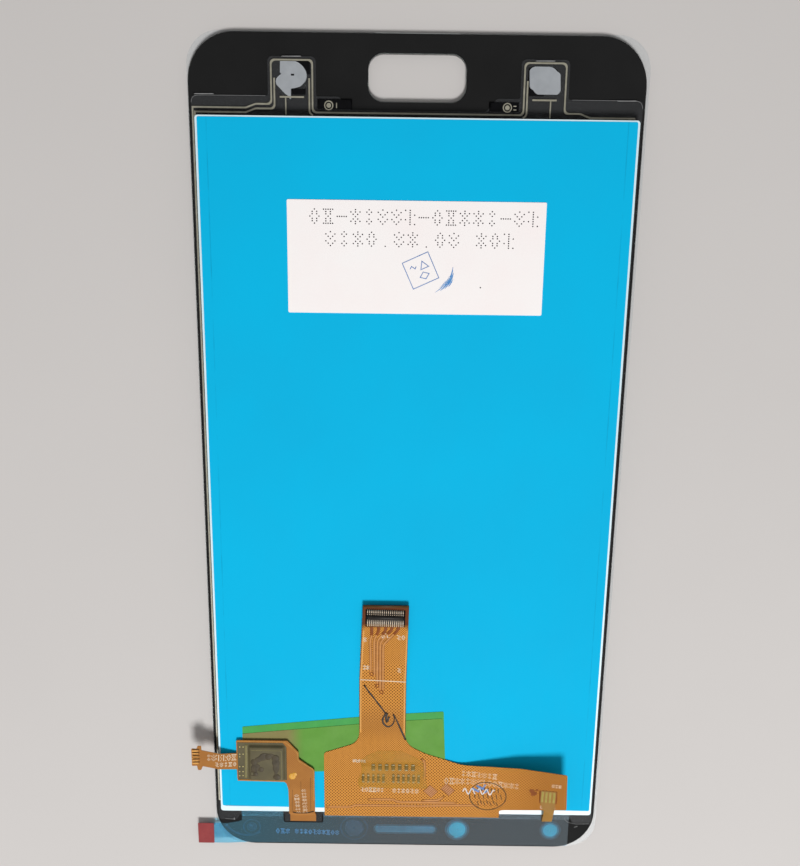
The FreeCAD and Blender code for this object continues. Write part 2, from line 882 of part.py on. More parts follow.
def make_display_flex():
    width = fold_right - fold_left
    middle = (fold_right + fold_left) / 2
    fold = bent_sheet(fold_path(), flex_thickness, width, 90.0, (middle, 0.0))
    body = arm_sheet(0.0, flex_thickness).common(column(body_outline()))
    body = body.cut(column(rectangle(-glass_width, neck_low, glass_width, glass_top)))
    strip = strip_sheet(0.0, flex_thickness)
    neck = strip.common(column(body_outline()))
    end = strip.common(column(strip_outline(strip_rise_from)))
    return joined([fold, body, neck, end])


def make_stiffener():
    """Stiff backing under the plug."""
    outline = strip_outline(stiffener_length)
    return strip_sheet(-stiffener_thickness, stiffener_thickness).common(column(outline))


def plug_place(shape):
    """Set a piece, built round the plug's middle, on the strip's upper face."""
    y = strip_top - plug_from_end - plug_width / 2
    height = z_flex + (y - strip_bend_y) * math.tan(strip_slope)
    height += flex_thickness / math.cos(strip_slope)
    shape.translate(vector(strip_end_x - 0.1, 0, 0))
    return turned(shape, strip_lift, y, height)


def make_board_connector():
    """Plug housing: a tray with a wall all round and a rib down its middle."""
    body = plate(centred(0, 0, plug_length, plug_width, 0.25), 0, plug_height)
    inside = centred(0, 0, plug_length - 2 * plug_wall, plug_width - 2 * plug_wall, 0.1)
    body = body.cut(plate(inside, plug_floor, plug_height))
    rib = centred(0, 0, plug_length - 2.6 * plug_wall, plug_rib_width, 0.1)
    body = body.fuse(plate(rib, plug_floor, plug_height - plug_floor - 0.08))
    for foot in plug_contacts():
        body = body.cut(foot)
    return plug_place(body.removeSplitter())


def plug_contacts():
    """Bent contacts: a foot on the flex, a leg up the wall's inside and a lip on its floor."""
    pitch = (plug_length - 2.4 * plug_wall) / contact_count
    feet = []
    for side in (-1, 1):
        inner = plug_rib_width / 2 + contact_rib_gap
        wall = plug_width / 2 - plug_wall
        outer = plug_width / 2 + contact_foot_reach
        path = [(inner, plug_floor, 0.0), (wall - contact_thickness, plug_floor, 0.08),
                (wall - contact_thickness, plug_height - 0.12, 0.0)]
        for i in range(contact_count):
            x = pitch * (i - (contact_count - 1) / 2)
            spring = bent_sheet(path, contact_thickness, contact_width, side * 90.0, (x, 0.0))
            foot = plate(centred(x, side * (wall + outer) / 2, contact_width, outer - wall + 0.2),
                         0, contact_thickness)
            feet.append(foot)
            feet.append(spring)
    return feet


def make_connector_contacts():
    return plug_place(Part.makeCompound(plug_contacts()))


def row_chips(count, pitch, length, width, rise, across):
    """A row of chips that lie on the flex, each with its long side across or along the row."""
    chips = []
    for i in range(count):
        x = chip_row_x + pitch * (i - (count - 1) / 2)
        size = (length, width) if across else (width, length)
        corners = centred(x, module_bottom + rise, size[0], size[1])
        chips.append(plate(corners, z_flex + flex_thickness, chip_height))
    return chips


def make_flex_components():
    chips = row_chips(chip_count, chip_pitch, chip_length, chip_width, chip_row_rise, False)
    coils = row_chips(coil_count, coil_pitch, coil_length, coil_width, coil_row_rise, True)
    return Part.makeCompound(chips + coils)


def frustum(corners, grown, z, height):
    """Block with sloping sides between a wide foot and a smaller top."""
    wires = []
    for outline, level in ((grown, z), (corners, z + height)):
        wires.append(Part.Wire(outline_edges(outline, lambda x, y, level=level: vector(x, y, level))))
    return Part.makeLoft(wires, True, True)


def draped_cover(left, bottom, right, top, z, height, rim_outline):
    """Thin film pressed over parts of one height, with sloping sides and a flat rim."""
    def box(grow, radius=0.0):
        return rectangle(left - grow, bottom - grow, right + grow, top + grow, radius)
    outside = frustum(box(cover_thickness), box(cover_slope + cover_thickness), z,
                      height + cover_thickness)
    inside = frustum(box(0.0), box(cover_slope), z, height)
    rim = plate(rim_outline, z, cover_thickness)
    return joined([outside, rim]).cut(inside)


def make_component_cover():
    row = chip_pitch * (chip_count - 1) / 2 + chip_width / 2
    coil = coil_pitch * (coil_count - 1) / 2 + coil_length / 2
    reach = max(row, coil) + chip_cover_gap
    low = module_bottom + chip_row_rise - chip_length / 2 - chip_cover_gap
    top = module_bottom + coil_row_rise + coil_width / 2 + chip_cover_gap
    spread = cover_slope + chip_cover_border
    rim = rectangle(chip_row_x - reach - spread, low - spread, chip_row_x + reach + spread,
                    top + spread, 0.4)
    return draped_cover(chip_row_x - reach, low, chip_row_x + reach, top,
                        z_flex + flex_thickness, chip_height, rim)


# Backlight flex

def arm_edge_at(x):
    """The lower edge of the arm at x."""
    start = fold_right + arm_notch_depth
    share = (x - start) / (arm_reach - start)
    return module_bottom + arm_notch + (arm_low - arm_notch) * share


def tail_ramp_end():
    """The tail meets the plane of the arm just short of the arm's edge."""
    return arm_edge_at(tail_x - tail_width / 2) - tail_edge_clear


def tail_pad_low():
    return tail_ramp_end() + tail_neck_length


def tail_end_outline():
    """Soldered end of the tail on the arm: it narrows towards the rim."""
    low = tail_pad_low()
    neck = tail_ramp_end()
    half = tail_pad_width / 2
    x = tail_x - tail_shift
    return [(tail_x - tail_width / 2, neck, 0.0), (tail_x + tail_width / 2, neck, 0.0),
            (x + half, low, 0.3), (x + half, low + tail_pad_length, 0.2),
            (x - half, low + tail_pad_length, 0.2), (x - half, low, 0.3)]


def section(y, height_at, thickness):
    """Upright four-cornered section of the tail in the plane at y."""
    left = tail_x - tail_width / 2
    right = tail_x + tail_width / 2
    points = [vector(left, y, height_at(left)), vector(right, y, height_at(right)),
              vector(right, y, height_at(right) + thickness),
              vector(left, y, height_at(left) + thickness)]
    return Part.makePolygon(points + points[:1])


def make_backlight_flex():
    """Lamp strip inside the frame, and the tail that leaves it and climbs onto the arm."""
    z = z_reflector - strip_thickness
    low = pocket_bottom + film_pocket_gap
    strip = plate(rectangle(pocket_left + 1.0, low, pocket_right - 1.0, guide_low - 0.05),
                  z, strip_thickness)
    ramp_end = tail_ramp_end()
    ramp_top = arm_height_at(tail_x, ramp_end, flex_thickness)
    far = module_bottom - tail_overshoot
    base = z + (strip_thickness - tail_thickness) / 2
    slope = (ramp_top - base) / (ramp_end - far)
    path = [(low + 0.3, base + tail_thickness, 0.0), (far, base + tail_thickness, tail_fold_radius),
            (ramp_end, base + tail_thickness + slope * (ramp_end - far), 0.0)]
    fold = bent_sheet(path, tail_thickness, tail_width, 90.0, (tail_x, 0.0))
    cut_y = module_bottom - 0.25
    above = Part.makeBox(20, 20, 20, vector(tail_x - 10, cut_y, z_back + 0.05))
    fold = fold.cut(above)
    # the ramp turns from level to the arm's cross slope
    leave = [v.Point for v in fold.Vertexes if abs(v.Point.y - cut_y) < 1e-4 and v.Point.z > z_back]
    leave_low = min(p.z for p in leave)
    leave_thick = max(p.z for p in leave) - leave_low
    arm_thick = tail_thickness / math.cos(arm_slope)
    ramp = Part.makeLoft([section(cut_y, lambda x: leave_low, leave_thick),
                          section(ramp_end, lambda x: arm_height_at(x, ramp_end, flex_thickness),
                                  arm_thick)], True, True)
    end = arm_sheet(flex_thickness, tail_thickness).common(column(tail_end_outline()))
    return joined([strip, fold, ramp, end])


def make_tail_solder():
    """Solder bars along the tail's gold fingers."""
    pitch = tail_pad_width / tail_pad_count
    bars = []
    sheet = arm_sheet(flex_thickness + tail_thickness, pad_thickness)
    for i in range(tail_pad_count):
        x = tail_x - tail_shift + pitch * (i - (tail_pad_count - 1) / 2)
        y = tail_pad_low() + tail_pad_length / 2
        bars.append(sheet.common(column(centred(x, y, pitch * 0.55, tail_pad_length * 0.85, 0.12))))
    return Part.makeCompound(bars)


# Touch flex

def board_path():
    """Lower face: from the bond on the sensor over the module's edge and up to the board."""
    foot = touch_bond_y + touch_bond_length / 2 + 0.35
    top = touch_board_y + 2
    return [(touch_bond_y - touch_bond_length / 2, z_trace, 0.0), (foot, z_trace, 0.5),
            (module_bottom - 0.25, z_film, 0.5), (module_bottom + 2.3, z_film, 3.0),
            (module_bottom + 5.4, z_touch, 4.0), (top, z_touch, 0.0)]


def board_outline():
    """Board with the touch chip, cut back at its right corner, and the leg below it."""
    left = touch_board_left
    right = touch_board_right
    top = touch_board_y
    low = top - touch_board_height
    leg_left = touch_leg_x - touch_leg_width / 2
    leg_right = touch_leg_x + touch_leg_width / 2
    end = module_bottom - sensor_low_edge - bond_tab_reach
    return [(left, low + 0.4, 0.3), (leg_left - 0.45, low, 0.8), (leg_left, low - 1.6, 0.3),
            (leg_left, end, 0.0), (leg_right, end, 0.0), (leg_right, low + 2.6, 0.4),
            (right + 2.1, low + 4.9, 0.4), (right + 2.1, top - 2.4, 0.4), (right, top, 0.3),
            (left, top, 0.3)]


def tail_path(rise=0.0):
    """Contact tail: it leaves the board level and lifts over the glass edge."""
    left = touch_board_left
    path = [(left - touch_tail_reach - 1.0, z_touch + touch_tail_rise + touch_tail_end, 0.0),
            (left - 3.1, z_touch + touch_tail_rise, 3.0), (left - 0.3, z_touch, 1.5),
            (left + 1.0, z_touch, 0.0)]
    return offset_path(path, rise)


def tail_middle():
    """Middle line of the tail where it leaves the board."""
    return touch_board_y - touch_tail_from_top


def touch_tail_outline():
    """Tail that drifts upwards to a contact end with an ear on each side."""
    left = touch_board_left
    end = left - touch_tail_reach
    low = tail_middle() - touch_tail_width / 2
    top = tail_middle() + touch_tail_width / 2
    end_low = low + touch_tail_drift
    end_top = top + touch_tail_drift + touch_end_skew
    ear = end + touch_ear_from_end
    ear_low = end_low - touch_ear_reach
    ear_top = end_top + touch_ear_reach - 0.35
    return [(left + 0.2, low, 0.0), (left + 0.2, top, 0.0), (left - 3.0, top + 0.25, 3),
            (ear + 0.75, end_top - 0.35, 0.3), (ear + 0.75, ear_top, 0.15), (ear + 0.1, ear_top, 0.15),
            (ear - 0.15, end_top - 0.05, 0.1), (end, end_top, 0.15), (end, end_low, 0.15),
            (ear - 0.15, end_low, 0.1), (ear, ear_low, 0.15), (ear + 0.6, ear_low, 0.15),
            (ear + 0.9, end_low - 0.1, 0.2), (left - 3.4, low + 0.45, 3)]


def touch_fingers():
    """Gold fingers set flush in the upper face of the contact end."""
    sheet = bent_sheet(tail_path(touch_flex_thickness - pad_thickness), pad_thickness, glass_length)
    end = touch_board_left - touch_tail_reach
    y = tail_middle() + touch_tail_drift + touch_end_skew / 2
    pitch = (touch_tail_width - 0.3) / touch_finger_count
    fingers = []
    for i in range(touch_finger_count):
        finger_y = y + pitch * (i - (touch_finger_count - 1) / 2)
        x = end + 0.1 + touch_finger_length / 2
        corners = centred(x, finger_y, touch_finger_length, touch_finger_width, 0.1)
        fingers.append(sheet.common(column(corners)))
    return fingers


def touch_pads():
    """Two columns of small gold pads set flush beside the touch chip."""
    z = z_touch + touch_flex_thickness - pad_thickness
    pads = []
    for rise in (1.25, 2.85, 5.5, 6.5, 7.4):
        for i in range(2):
            x = touch_board_left + touch_pad_from_left + touch_pad_pitch * i
            pads.append(disc(x, touch_board_y - rise, touch_pad_radius, z, pad_thickness))
    return pads


def make_touch_flex():
    board = bent_sheet(board_path(), touch_flex_thickness, glass_length, 90.0)
    board = board.common(column(board_outline()))
    tail = bent_sheet(tail_path(), touch_flex_thickness, glass_length)
    tail = tail.common(column(touch_tail_outline()))
    flex = joined([board, tail])
    return flex.cut(Part.makeCompound(touch_fingers() + touch_pads()))


def make_touch_contacts():
    return Part.makeCompound(touch_fingers() + touch_pads())


def make_touch_stiffener():
    """Black backing under the touch chip: a corner of it shows at the upper left."""
    left = touch_board_left
    top = touch_board_y
    corners = rectangle(left + 1.25, top - touch_board_height + 0.9, touch_board_right - 0.2,
                        top - 0.15, 0.3)
    return plate(corners, z_flex, touch_stiffener_thickness)


def chip_centre():
    x = touch_board_right - touch_chip_from_right - touch_chip_width / 2
    y = touch_board_y - touch_chip_from_top - touch_chip_length / 2
    return x, y


def make_touch_ic():
    x, y = chip_centre()
    corners = centred(x, y, touch_chip_width, touch_chip_length, 0.1)
    return plate(corners, z_touch + touch_flex_thickness, touch_chip_height)


def make_touch_ic_cover():
    x, y = chip_centre()
    half_w = touch_chip_width / 2
    half_l = touch_chip_length / 2
    border = touch_cover_border
    rim = rectangle(touch_board_left + border, touch_board_y - touch_board_height + border,
                    touch_board_right - border, touch_board_y - border, 0.3)
    return draped_cover(x - half_w, y - half_l, x + half_w, y + half_l,
                        z_touch + touch_flex_thickness, touch_chip_height, rim)


# Film over the lower border

def bezel_film_path():
    """Lower face: on the sensor's lower strip, then down onto the ink."""
    low = module_bottom - sensor_low_edge
    return [(glass_bottom - 1.0, z_border, 0.0), (low - 0.6, z_border, 0.3), (low - 0.1, z_trace, 0.3),
            (module_bottom + 1.0, z_trace, 0.0)]


def bezel_film_outline():
    """Film with notches for the sensor's feet and bond tab, and an arm to the pull tab."""
    top = module_bottom - bezel_film_notch_gap
    low = glass_bottom + bezel_film_edge
    right = glass_width / 2 - bezel_film_right
    left = -glass_width / 2 + sensor_side_gap + sensor_foot_width + bezel_film_from_feet
    notch_left = touch_leg_x - touch_leg_width / 2 - bond_tab_border - bezel_film_notch_gap
    notch_right = touch_leg_x + touch_leg_width / 2 + bond_tab_border + bezel_film_notch_gap
    notch = module_bottom - sensor_low_edge - bond_tab_reach - bezel_film_notch_gap
    end = -glass_width / 2 - bezel_film_reach
    arm_top = pull_tab_y + pull_tab_width / 2
    arm_low = pull_tab_y - pull_tab_width / 2
    return [(left, top, 0.3), (left, arm_top + 0.6, 0.6), (left - 3.0, arm_top, 2),
            (end, arm_top, 0.0), (end, arm_low, 0.0), (left - 3.0, arm_low, 3), (left + 1.0, low, 3),
            (right, low, 0.4), (right, top, 0.3), (notch_right, top, 0.0), (notch_right, notch, 0.5),
            (notch_left, notch, 0.5), (notch_left, top, 0.0)]


def make_bezel_film():
    sheet = bent_sheet(bezel_film_path(), bezel_film_thickness, glass_length, 90.0)
    return sheet.common(column(bezel_film_outline()))


def make_pull_tab():
    right = -glass_width / 2 - bezel_film_reach + pull_tab_overlap
    y = pull_tab_y
    corners = rectangle(right - pull_tab_length, y - pull_tab_width / 2,
                        right, y + pull_tab_width / 2, 0.15)
    return plate(corners, z_border + bezel_film_thickness, pull_tab_thickness)


def make_parts():
    return {
        "front_film": make_front_film(),
        "cover_glass": make_cover_glass(),
        "ink_border": make_ink_border(),
        "key_patch_left": plate(left_patch_outline(), z_ink, ink_thickness),
        "key_patch_right": plate(right_patch_outline(), z_ink, ink_thickness),
        "sensor_windows": make_sensor_windows(),
        "glass_adhesive": make_glass_adhesive(),
        "touch_sensor": make_touch_sensor(),
        "touch_traces": make_touch_traces(),
        "display_adhesive": polariser_plate(z_trace, display_glue_thickness),
        "front_polariser": polariser_plate(z_front_polariser, polariser_thickness),
        "colour_filter_glass": cell_plate(z_colour, cell_ledge),
        "array_glass": cell_plate(z_array, 0.0),
        "driver_ic": make_driver_ic(),
        "rear_polariser": polariser_plate(z_rear_polariser, polariser_thickness),
        "shading_tape": make_shading_tape(),
        "prism_film_upper": pocket_plate(z_prism_upper, prism_thickness, polariser_bottom),
        "prism_film_lower": pocket_plate(z_prism_lower, prism_thickness, polariser_bottom),
        "diffuser_film": pocket_plate(z_diffuser, diffuser_thickness, guide_low),
        "light_guide": make_light_guide(),
        "leds": make_leds(),
        "backlight_flex": make_backlight_flex(),
        "reflector": pocket_plate(z_reflector, reflector_thickness, pocket_bottom + film_pocket_gap),
        "backlight_frame": make_backlight_frame(),
        "back_film": make_back_film(),
        "label": make_label(),
        "flex_tape_lower": plate(tape_outline(0.0), z_film, tape_thickness),
        "flex_tape_upper": plate(tape_outline(tape_step), z_tape_upper, tape_thickness),
        "display_flex": make_display_flex(),
        "flex_stiffener": make_stiffener(),
        "board_connector": make_board_connector(),
        "connector_contacts": make_connector_contacts(),
        "flex_components": make_flex_components(),
        "component_cover": make_component_cover(),
        "tail_solder": make_tail_solder(),
        "touch_flex": make_touch_flex(),
        "touch_contacts": make_touch_contacts(),
        "touch_stiffener": make_touch_stiffener(),
        "touch_ic": make_touch_ic(),
        "touch_ic_cover": make_touch_ic_cover(),
        "bezel_film": make_bezel_film(),
        "pull_tab": make_pull_tab(),
    }


os.makedirs("parts", exist_ok=True)
for name, shape in make_parts().items():
    shape.exportStep("parts/" + name + ".step")
    print(name, "solids", len(shape.Solids), "volume", round(shape.Volume, 3), shape.isValid())
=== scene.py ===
import logging
import math
from dataclasses import dataclass
from enum import Enum
from typing import Any, Callable, Sequence

import bpy
import numpy as np
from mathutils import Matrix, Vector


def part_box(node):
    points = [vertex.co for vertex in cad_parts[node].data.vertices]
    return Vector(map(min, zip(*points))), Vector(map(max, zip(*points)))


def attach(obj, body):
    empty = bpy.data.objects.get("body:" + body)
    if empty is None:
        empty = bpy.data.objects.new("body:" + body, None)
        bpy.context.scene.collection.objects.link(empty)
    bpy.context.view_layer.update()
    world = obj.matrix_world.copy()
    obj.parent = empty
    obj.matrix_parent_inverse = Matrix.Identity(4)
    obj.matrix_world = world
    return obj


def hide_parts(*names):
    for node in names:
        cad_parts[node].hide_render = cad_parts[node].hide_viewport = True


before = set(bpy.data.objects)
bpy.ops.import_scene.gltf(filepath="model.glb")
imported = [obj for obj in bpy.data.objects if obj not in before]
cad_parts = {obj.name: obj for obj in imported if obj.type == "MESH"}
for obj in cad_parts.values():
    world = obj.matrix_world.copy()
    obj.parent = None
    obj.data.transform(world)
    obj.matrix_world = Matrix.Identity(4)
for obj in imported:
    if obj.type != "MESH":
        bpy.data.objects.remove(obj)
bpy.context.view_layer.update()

MM = 0.001
BODY = "root"
SINK = 0.006  # depth of every mark's foot under its ground, in millimetres

Array = np.ndarray
Ground = Callable[[Array, Array], Array]
Colour = tuple[float, float, float]

log = logging.getLogger("display")


def srgb(red: int, green: int, blue: int) -> Colour:
    """Turn a colour as seen on a screen into the linear values that a shader takes.

    Args:
        red: Red from 0 to 255.
        green: Green from 0 to 255.
        blue: Blue from 0 to 255.

    Returns:
        The three linear values: a straight line for the darkest tones, and a power of 2.4 above.
    """
    parts = np.array([red, green, blue]) / 255
    linear = np.where(parts <= 0.04045, parts / 12.92, ((parts + 0.055) / 1.055) ** 2.4)
    return tuple(float(v) for v in linear)


@dataclass(frozen=True)
class Place:
    """Box of one node of the frame, in millimetres."""

    left: float
    low: float
    bottom: float
    right: float
    top: float
    upper: float

    @classmethod
    def of(cls, node: str) -> "Place":
        """Read the box of a node."""
        lowest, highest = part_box(node)
        return cls(*(value / MM for value in (*lowest, *highest)))

    @property
    def middle_x(self) -> float:
        """Middle of the box from left to right."""
        return (self.left + self.right) / 2

    @property
    def middle_y(self) -> float:
        """Middle of the box from its lower to its upper edge."""
        return (self.low + self.top) / 2


# Surfaces

@dataclass(frozen=True)
class Level:
    """Ground at one height."""

    height: float

    def __call__(self, x: Array, y: Array) -> Array:
        """Give the same height everywhere."""
        return np.full(np.shape(x), self.height)


@dataclass
class Patch:
    """Points in millimetres and four-cornered faces of one or more closed shapes."""

    points: Array
    faces: Array

    @classmethod
    def joined(cls, patches: Sequence["Patch"]) -> "Patch":
        """Put several patches into one.

        Args:
            patches: Patches to put together.

        Returns:
            One patch whose faces count on from one patch's points to the next.
        """
        patches = [patch.outward() for patch in patches]
        starts = np.cumsum([0] + [len(patch.points) for patch in patches[:-1]])
        faces = [patch.faces + start for patch, start in zip(patches, starts)]
        return cls(np.concatenate([patch.points for patch in patches]), np.concatenate(faces))

    def outward(self) -> "Patch":
        """Turn every face round where the closed shapes hold a negative volume.

        Returns:
            A patch with faces that point outwards. The volume is a sixth of the sum, over the
            triangles of each face, of the first corner dotted with the cross of the other two.
        """
        a, b, c, d = (self.points[self.faces[:, k]] for k in range(4))
        volume = np.sum(a * np.cross(b, c)) + np.sum(a * np.cross(c, d))
        return Patch(self.points, self.faces[:, ::-1]) if volume < 0 else self

    def to_object(self, name: str, material: bpy.types.Material) -> bpy.types.Object:
        """Make the patch an object of the scene that rides on the part.

        Args:
            name: Name of the piece.
            material: Its finish.

        Returns:
            The new object, at the origin.
        """
        patch = self.outward()
        mesh = bpy.data.meshes.new(name)
        mesh.vertices.add(len(patch.points))
        mesh.vertices.foreach_set("co", (patch.points * MM).astype(np.float32).ravel())
        mesh.loops.add(patch.faces.size)
        mesh.loops.foreach_set("vertex_index", patch.faces.astype(np.int32).ravel())
        mesh.polygons.add(len(patch.faces))
        mesh.polygons.foreach_set("loop_start", np.arange(0, patch.faces.size, 4, dtype=np.int32))
        mesh.update(calc_edges=True)
        mesh.validate()
        mesh.materials.append(material)
        piece = bpy.data.objects.new(name, mesh)
        bpy.context.scene.collection.objects.link(piece)
        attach(piece, BODY)
        log.info("made %s with %d faces", name, len(patch.faces))
        return piece


def bend_round(corners: Sequence[Sequence[float]], reach: float, steps: int = 5) -> Array:
    """Round the corners of a path.

    Args:
        corners: Points of the path, as x and y.
        reach: How far from a corner its curve starts, at most 0.45 of the shorter run.
        steps: Points on each curve.

    Returns:
        The path's points. Each inner corner becomes a parabola between the two points that lie
        reach before and after it: (1-t)^2 of the first, 2t(1-t) of the corner, t^2 of the last.
    """
    path = np.array(corners, float)
    if len(path) < 3:
        return path
    before, corner, after = path[:-2], path[1:-1], path[2:]
    run_in = np.linalg.norm(corner - before, axis=1, keepdims=True)
    run_out = np.linalg.norm(after - corner, axis=1, keepdims=True)
    cut = np.minimum(reach, 0.45 * np.minimum(run_in, run_out))
    start = corner - (corner - before) / run_in * cut
    end = corner + (after - corner) / run_out * cut
    t = np.linspace(0, 1, steps)[None, :, None]
    curve = (1 - t) ** 2 * start[:, None] + 2 * t * (1 - t) * corner[:, None] + t**2 * end[:, None]
    return np.concatenate([path[:1], curve.reshape(-1, 2), path[-1:]])


def spread(path: Array, spacing: float) -> Array:
    """Space points evenly along a path.

    Args:
        path: Points of the path.
        spacing: Rough distance between the new points.

    Returns:
        New points at equal shares of the path's length, found by linear interpolation.
    """
    runs = np.linalg.norm(np.diff(path, axis=0), axis=1)
    reached = np.concatenate([[0.0], np.cumsum(runs)])
    wanted = np.linspace(0, reached[-1], max(2, int(reached[-1] / spacing) + 1))
    return np.stack([np.interp(wanted, reached, path[:, k]) for k in range(2)], axis=1)


def arc(centre: Sequence[float], radius: Sequence[float], start: float, end: float, count: int) -> Array:
    """Points on an ellipse's arc: the centre plus the radii times cosine and sine of the angle.

    Args:
        centre: Middle of the arc.
        radius: Radius along x and along y.
        start: First angle in degrees.
        end: Last angle in degrees.
        count: Number of points.

    Returns:
        The points, as x and y.
    """
    angle = np.radians(np.linspace(start, end, count))
    return np.stack([centre[0] + radius[0] * np.cos(angle), centre[1] + radius[1] * np.sin(angle)], axis=1)


def band(path: Array, width: float | Array, rise: float, ground: Ground, closed: bool = False) -> Patch:
    """Low band of even or changing width along a path on the ground.

    Args:
        path: Points of the path, as x and y.
        width: Width of the foot, one value or one a point.
        rise: Height of the top over the ground.
        ground: Height of the ground.
        closed: Whether the path runs on into its first point.

    Returns:
        A closed patch. The side vector at a point is the sum of the normals of the two runs that
        meet there, divided by one plus their dot product, which keeps the width through a turn.
        The profile has two feet just under the ground and two upper corners set in by an eighth.
    """
    if closed:
        runs = np.roll(path, -1, axis=0) - path
    else:
        runs = np.concatenate([np.diff(path, axis=0), path[-1:] - path[-2:-1]])
    runs = runs / np.linalg.norm(runs, axis=1, keepdims=True)
    after = np.stack([-runs[:, 1], runs[:, 0]], axis=1)
    before = np.roll(after, 1, axis=0)
    if not closed:
        before[0] = after[0]
    blend = np.maximum(1 + np.sum(before * after, axis=1, keepdims=True), 0.4)
    side = (before + after) / blend * (np.broadcast_to(width, len(path))[:, None] / 2)
    shares = np.array([1.0, 0.75, -0.75, -1.0])
    heights = np.array([-SINK, rise, rise, -SINK])
    flat = path[:, None] + side[:, None] * shares[None, :, None]
    level = ground(flat[..., 0], flat[..., 1]) + heights
    points = np.concatenate([flat, level[..., None]], axis=2).reshape(-1, 3)
    count = len(path)
    row = np.arange(count if closed else count - 1)[:, None] * 4
    onward = (row + 4) % (count * 4)
    k = np.arange(4)[None]
    k_next = (k + 1) % 4
    faces = np.stack([row + k, row + k_next, onward + k_next, onward + k], axis=2).reshape(-1, 4)
    if not closed:
        last = (count - 1) * 4
        caps = np.array([[3, 2, 1, 0], [last, last + 1, last + 2, last + 3]])
        faces = np.concatenate([faces, caps])
    return Patch(points, faces)


def blocks(centres: Array, sizes: Array, turn: float, rise: float, ground: Ground) -> Patch:
    """Low blocks with sloping sides, all turned by one angle.

    Args:
        centres: Middle of each block, as x and y.
        sizes: Length and width of each block, or one pair for all.
        turn: Angle of the blocks in degrees.
        rise: Height over the ground.
        ground: Height of the ground.

    Returns:
        Closed blocks of eight points: four at the full size just under the ground, and four at
        0.8 of it on top, each turned by the angle and moved to its middle.
    """
    corner = np.array([[-1, -1], [1, -1], [1, 1], [-1, 1]]) / 2
    local = np.concatenate([corner, corner * 0.8])
    across = np.broadcast_to(sizes, (len(centres), 2))[:, None] * local[None]
    c, s = math.cos(math.radians(turn)), math.sin(math.radians(turn))
    turned = np.stack([across[..., 0] * c - across[..., 1] * s,
                       across[..., 0] * s + across[..., 1] * c], axis=2)
    flat = turned + np.asarray(centres, float)[:, None]
    level = ground(flat[..., 0], flat[..., 1]) + np.repeat([-SINK, rise], 4)
    points = np.concatenate([flat, level[..., None]], axis=2).reshape(-1, 3)
    one = np.array([[0, 3, 2, 1], [4, 5, 6, 7], [0, 1, 5, 4], [1, 2, 6, 5], [2, 3, 7, 6], [3, 0, 4, 7]])
    faces = (one[None] + 8 * np.arange(len(centres))[:, None, None]).reshape(-1, 4)
    return Patch(points, faces)


def drums(centres: Array, radius: float | Array, rise: float | Array, ground: Ground) -> Patch:
    """Low eight-sided drums, as dots of print or solder.

    Args:
        centres: Middle of each drum, as x and y.
        radius: Radius of the foot, one value or one a drum.
        rise: Height over the ground, one value or one a drum.
        ground: Height of the ground.

    Returns:
        Closed drums: eight foot points and eight top points at 0.8 of the radius, at equal angles.
    """
    angle = (np.arange(8) + 0.5) * math.pi / 4
    circle = np.stack([np.cos(angle), np.sin(angle)], axis=1)
    local = np.concatenate([circle, circle * 0.8])
    wide = np.broadcast_to(radius, len(centres))[:, None, None]
    flat = np.asarray(centres, float)[:, None] + local[None] * wide
    tops = np.broadcast_to(rise, len(centres))[:, None]
    heights = np.concatenate([np.full((len(centres), 8), -SINK), np.repeat(tops, 8, axis=1)], axis=1)
    level = ground(flat[..., 0], flat[..., 1]) + heights
    points = np.concatenate([flat, level[..., None]], axis=2).reshape(-1, 3)
    k = np.arange(8)
    side = np.stack([k, (k + 1) % 8, (k + 1) % 8 + 8, k + 8], axis=1)
    cap = np.array([[0, 1, 2, 3], [0, 3, 4, 7], [4, 5, 6, 7]])
    one = np.concatenate([side, cap[:, ::-1], cap + 8])
    faces = (one[None] + 16 * np.arange(len(centres))[:, None, None]).reshape(-1, 4)
    return Patch(points, faces)


def sheet(upper: Array, thickness: float) -> Patch:
    """Thin closed sheet under a grid of points.

    Args:
        upper: Points of the upper face, as rows by columns by three values.
        thickness: Distance down to the lower face.

    Returns:
        The closed sheet. The lower face is the upper one moved down by the thickness, and four
        walls join the outer rows and columns of the two.
    """
    rows, columns = upper.shape[:2]
    points = np.concatenate([upper.reshape(-1, 3), (upper - [0, 0, thickness]).reshape(-1, 3)])
    index = np.arange(rows * columns).reshape(rows, columns)
    under = index + rows * columns

    def quads(grid: Array) -> Array:
        """Faces between neighbouring rows and columns of point numbers."""
        return np.stack([grid[:-1, :-1], grid[:-1, 1:], grid[1:, 1:], grid[1:, :-1]], axis=2).reshape(-1, 4)

    walls = [quads(np.stack([index[0], under[0]])), quads(np.stack([under[-1], index[-1]])),
             quads(np.stack([under[:, 0], index[:, 0]])), quads(np.stack([index[:, -1], under[:, -1]]))]
    return Patch(points, np.concatenate([quads(index), quads(under)[:, ::-1], *walls]))


def between_sides(y: Array, left: Array, right: Array, columns: int) -> tuple[Array, Array]:
    """Grid of points between two sides.

    Args:
        y: Height of each row in plan.
        left: Left end of each row.
        right: Right end of each row.
        columns: Points in each row.

    Returns:
        The x and the y of each point: x goes evenly from the left to the right end of its row.
    """
    share = np.linspace(0, 1, columns)[None, :]
    x = left[:, None] + (right - left)[:, None] * share
    return x, np.broadcast_to(y[:, None], x.shape)


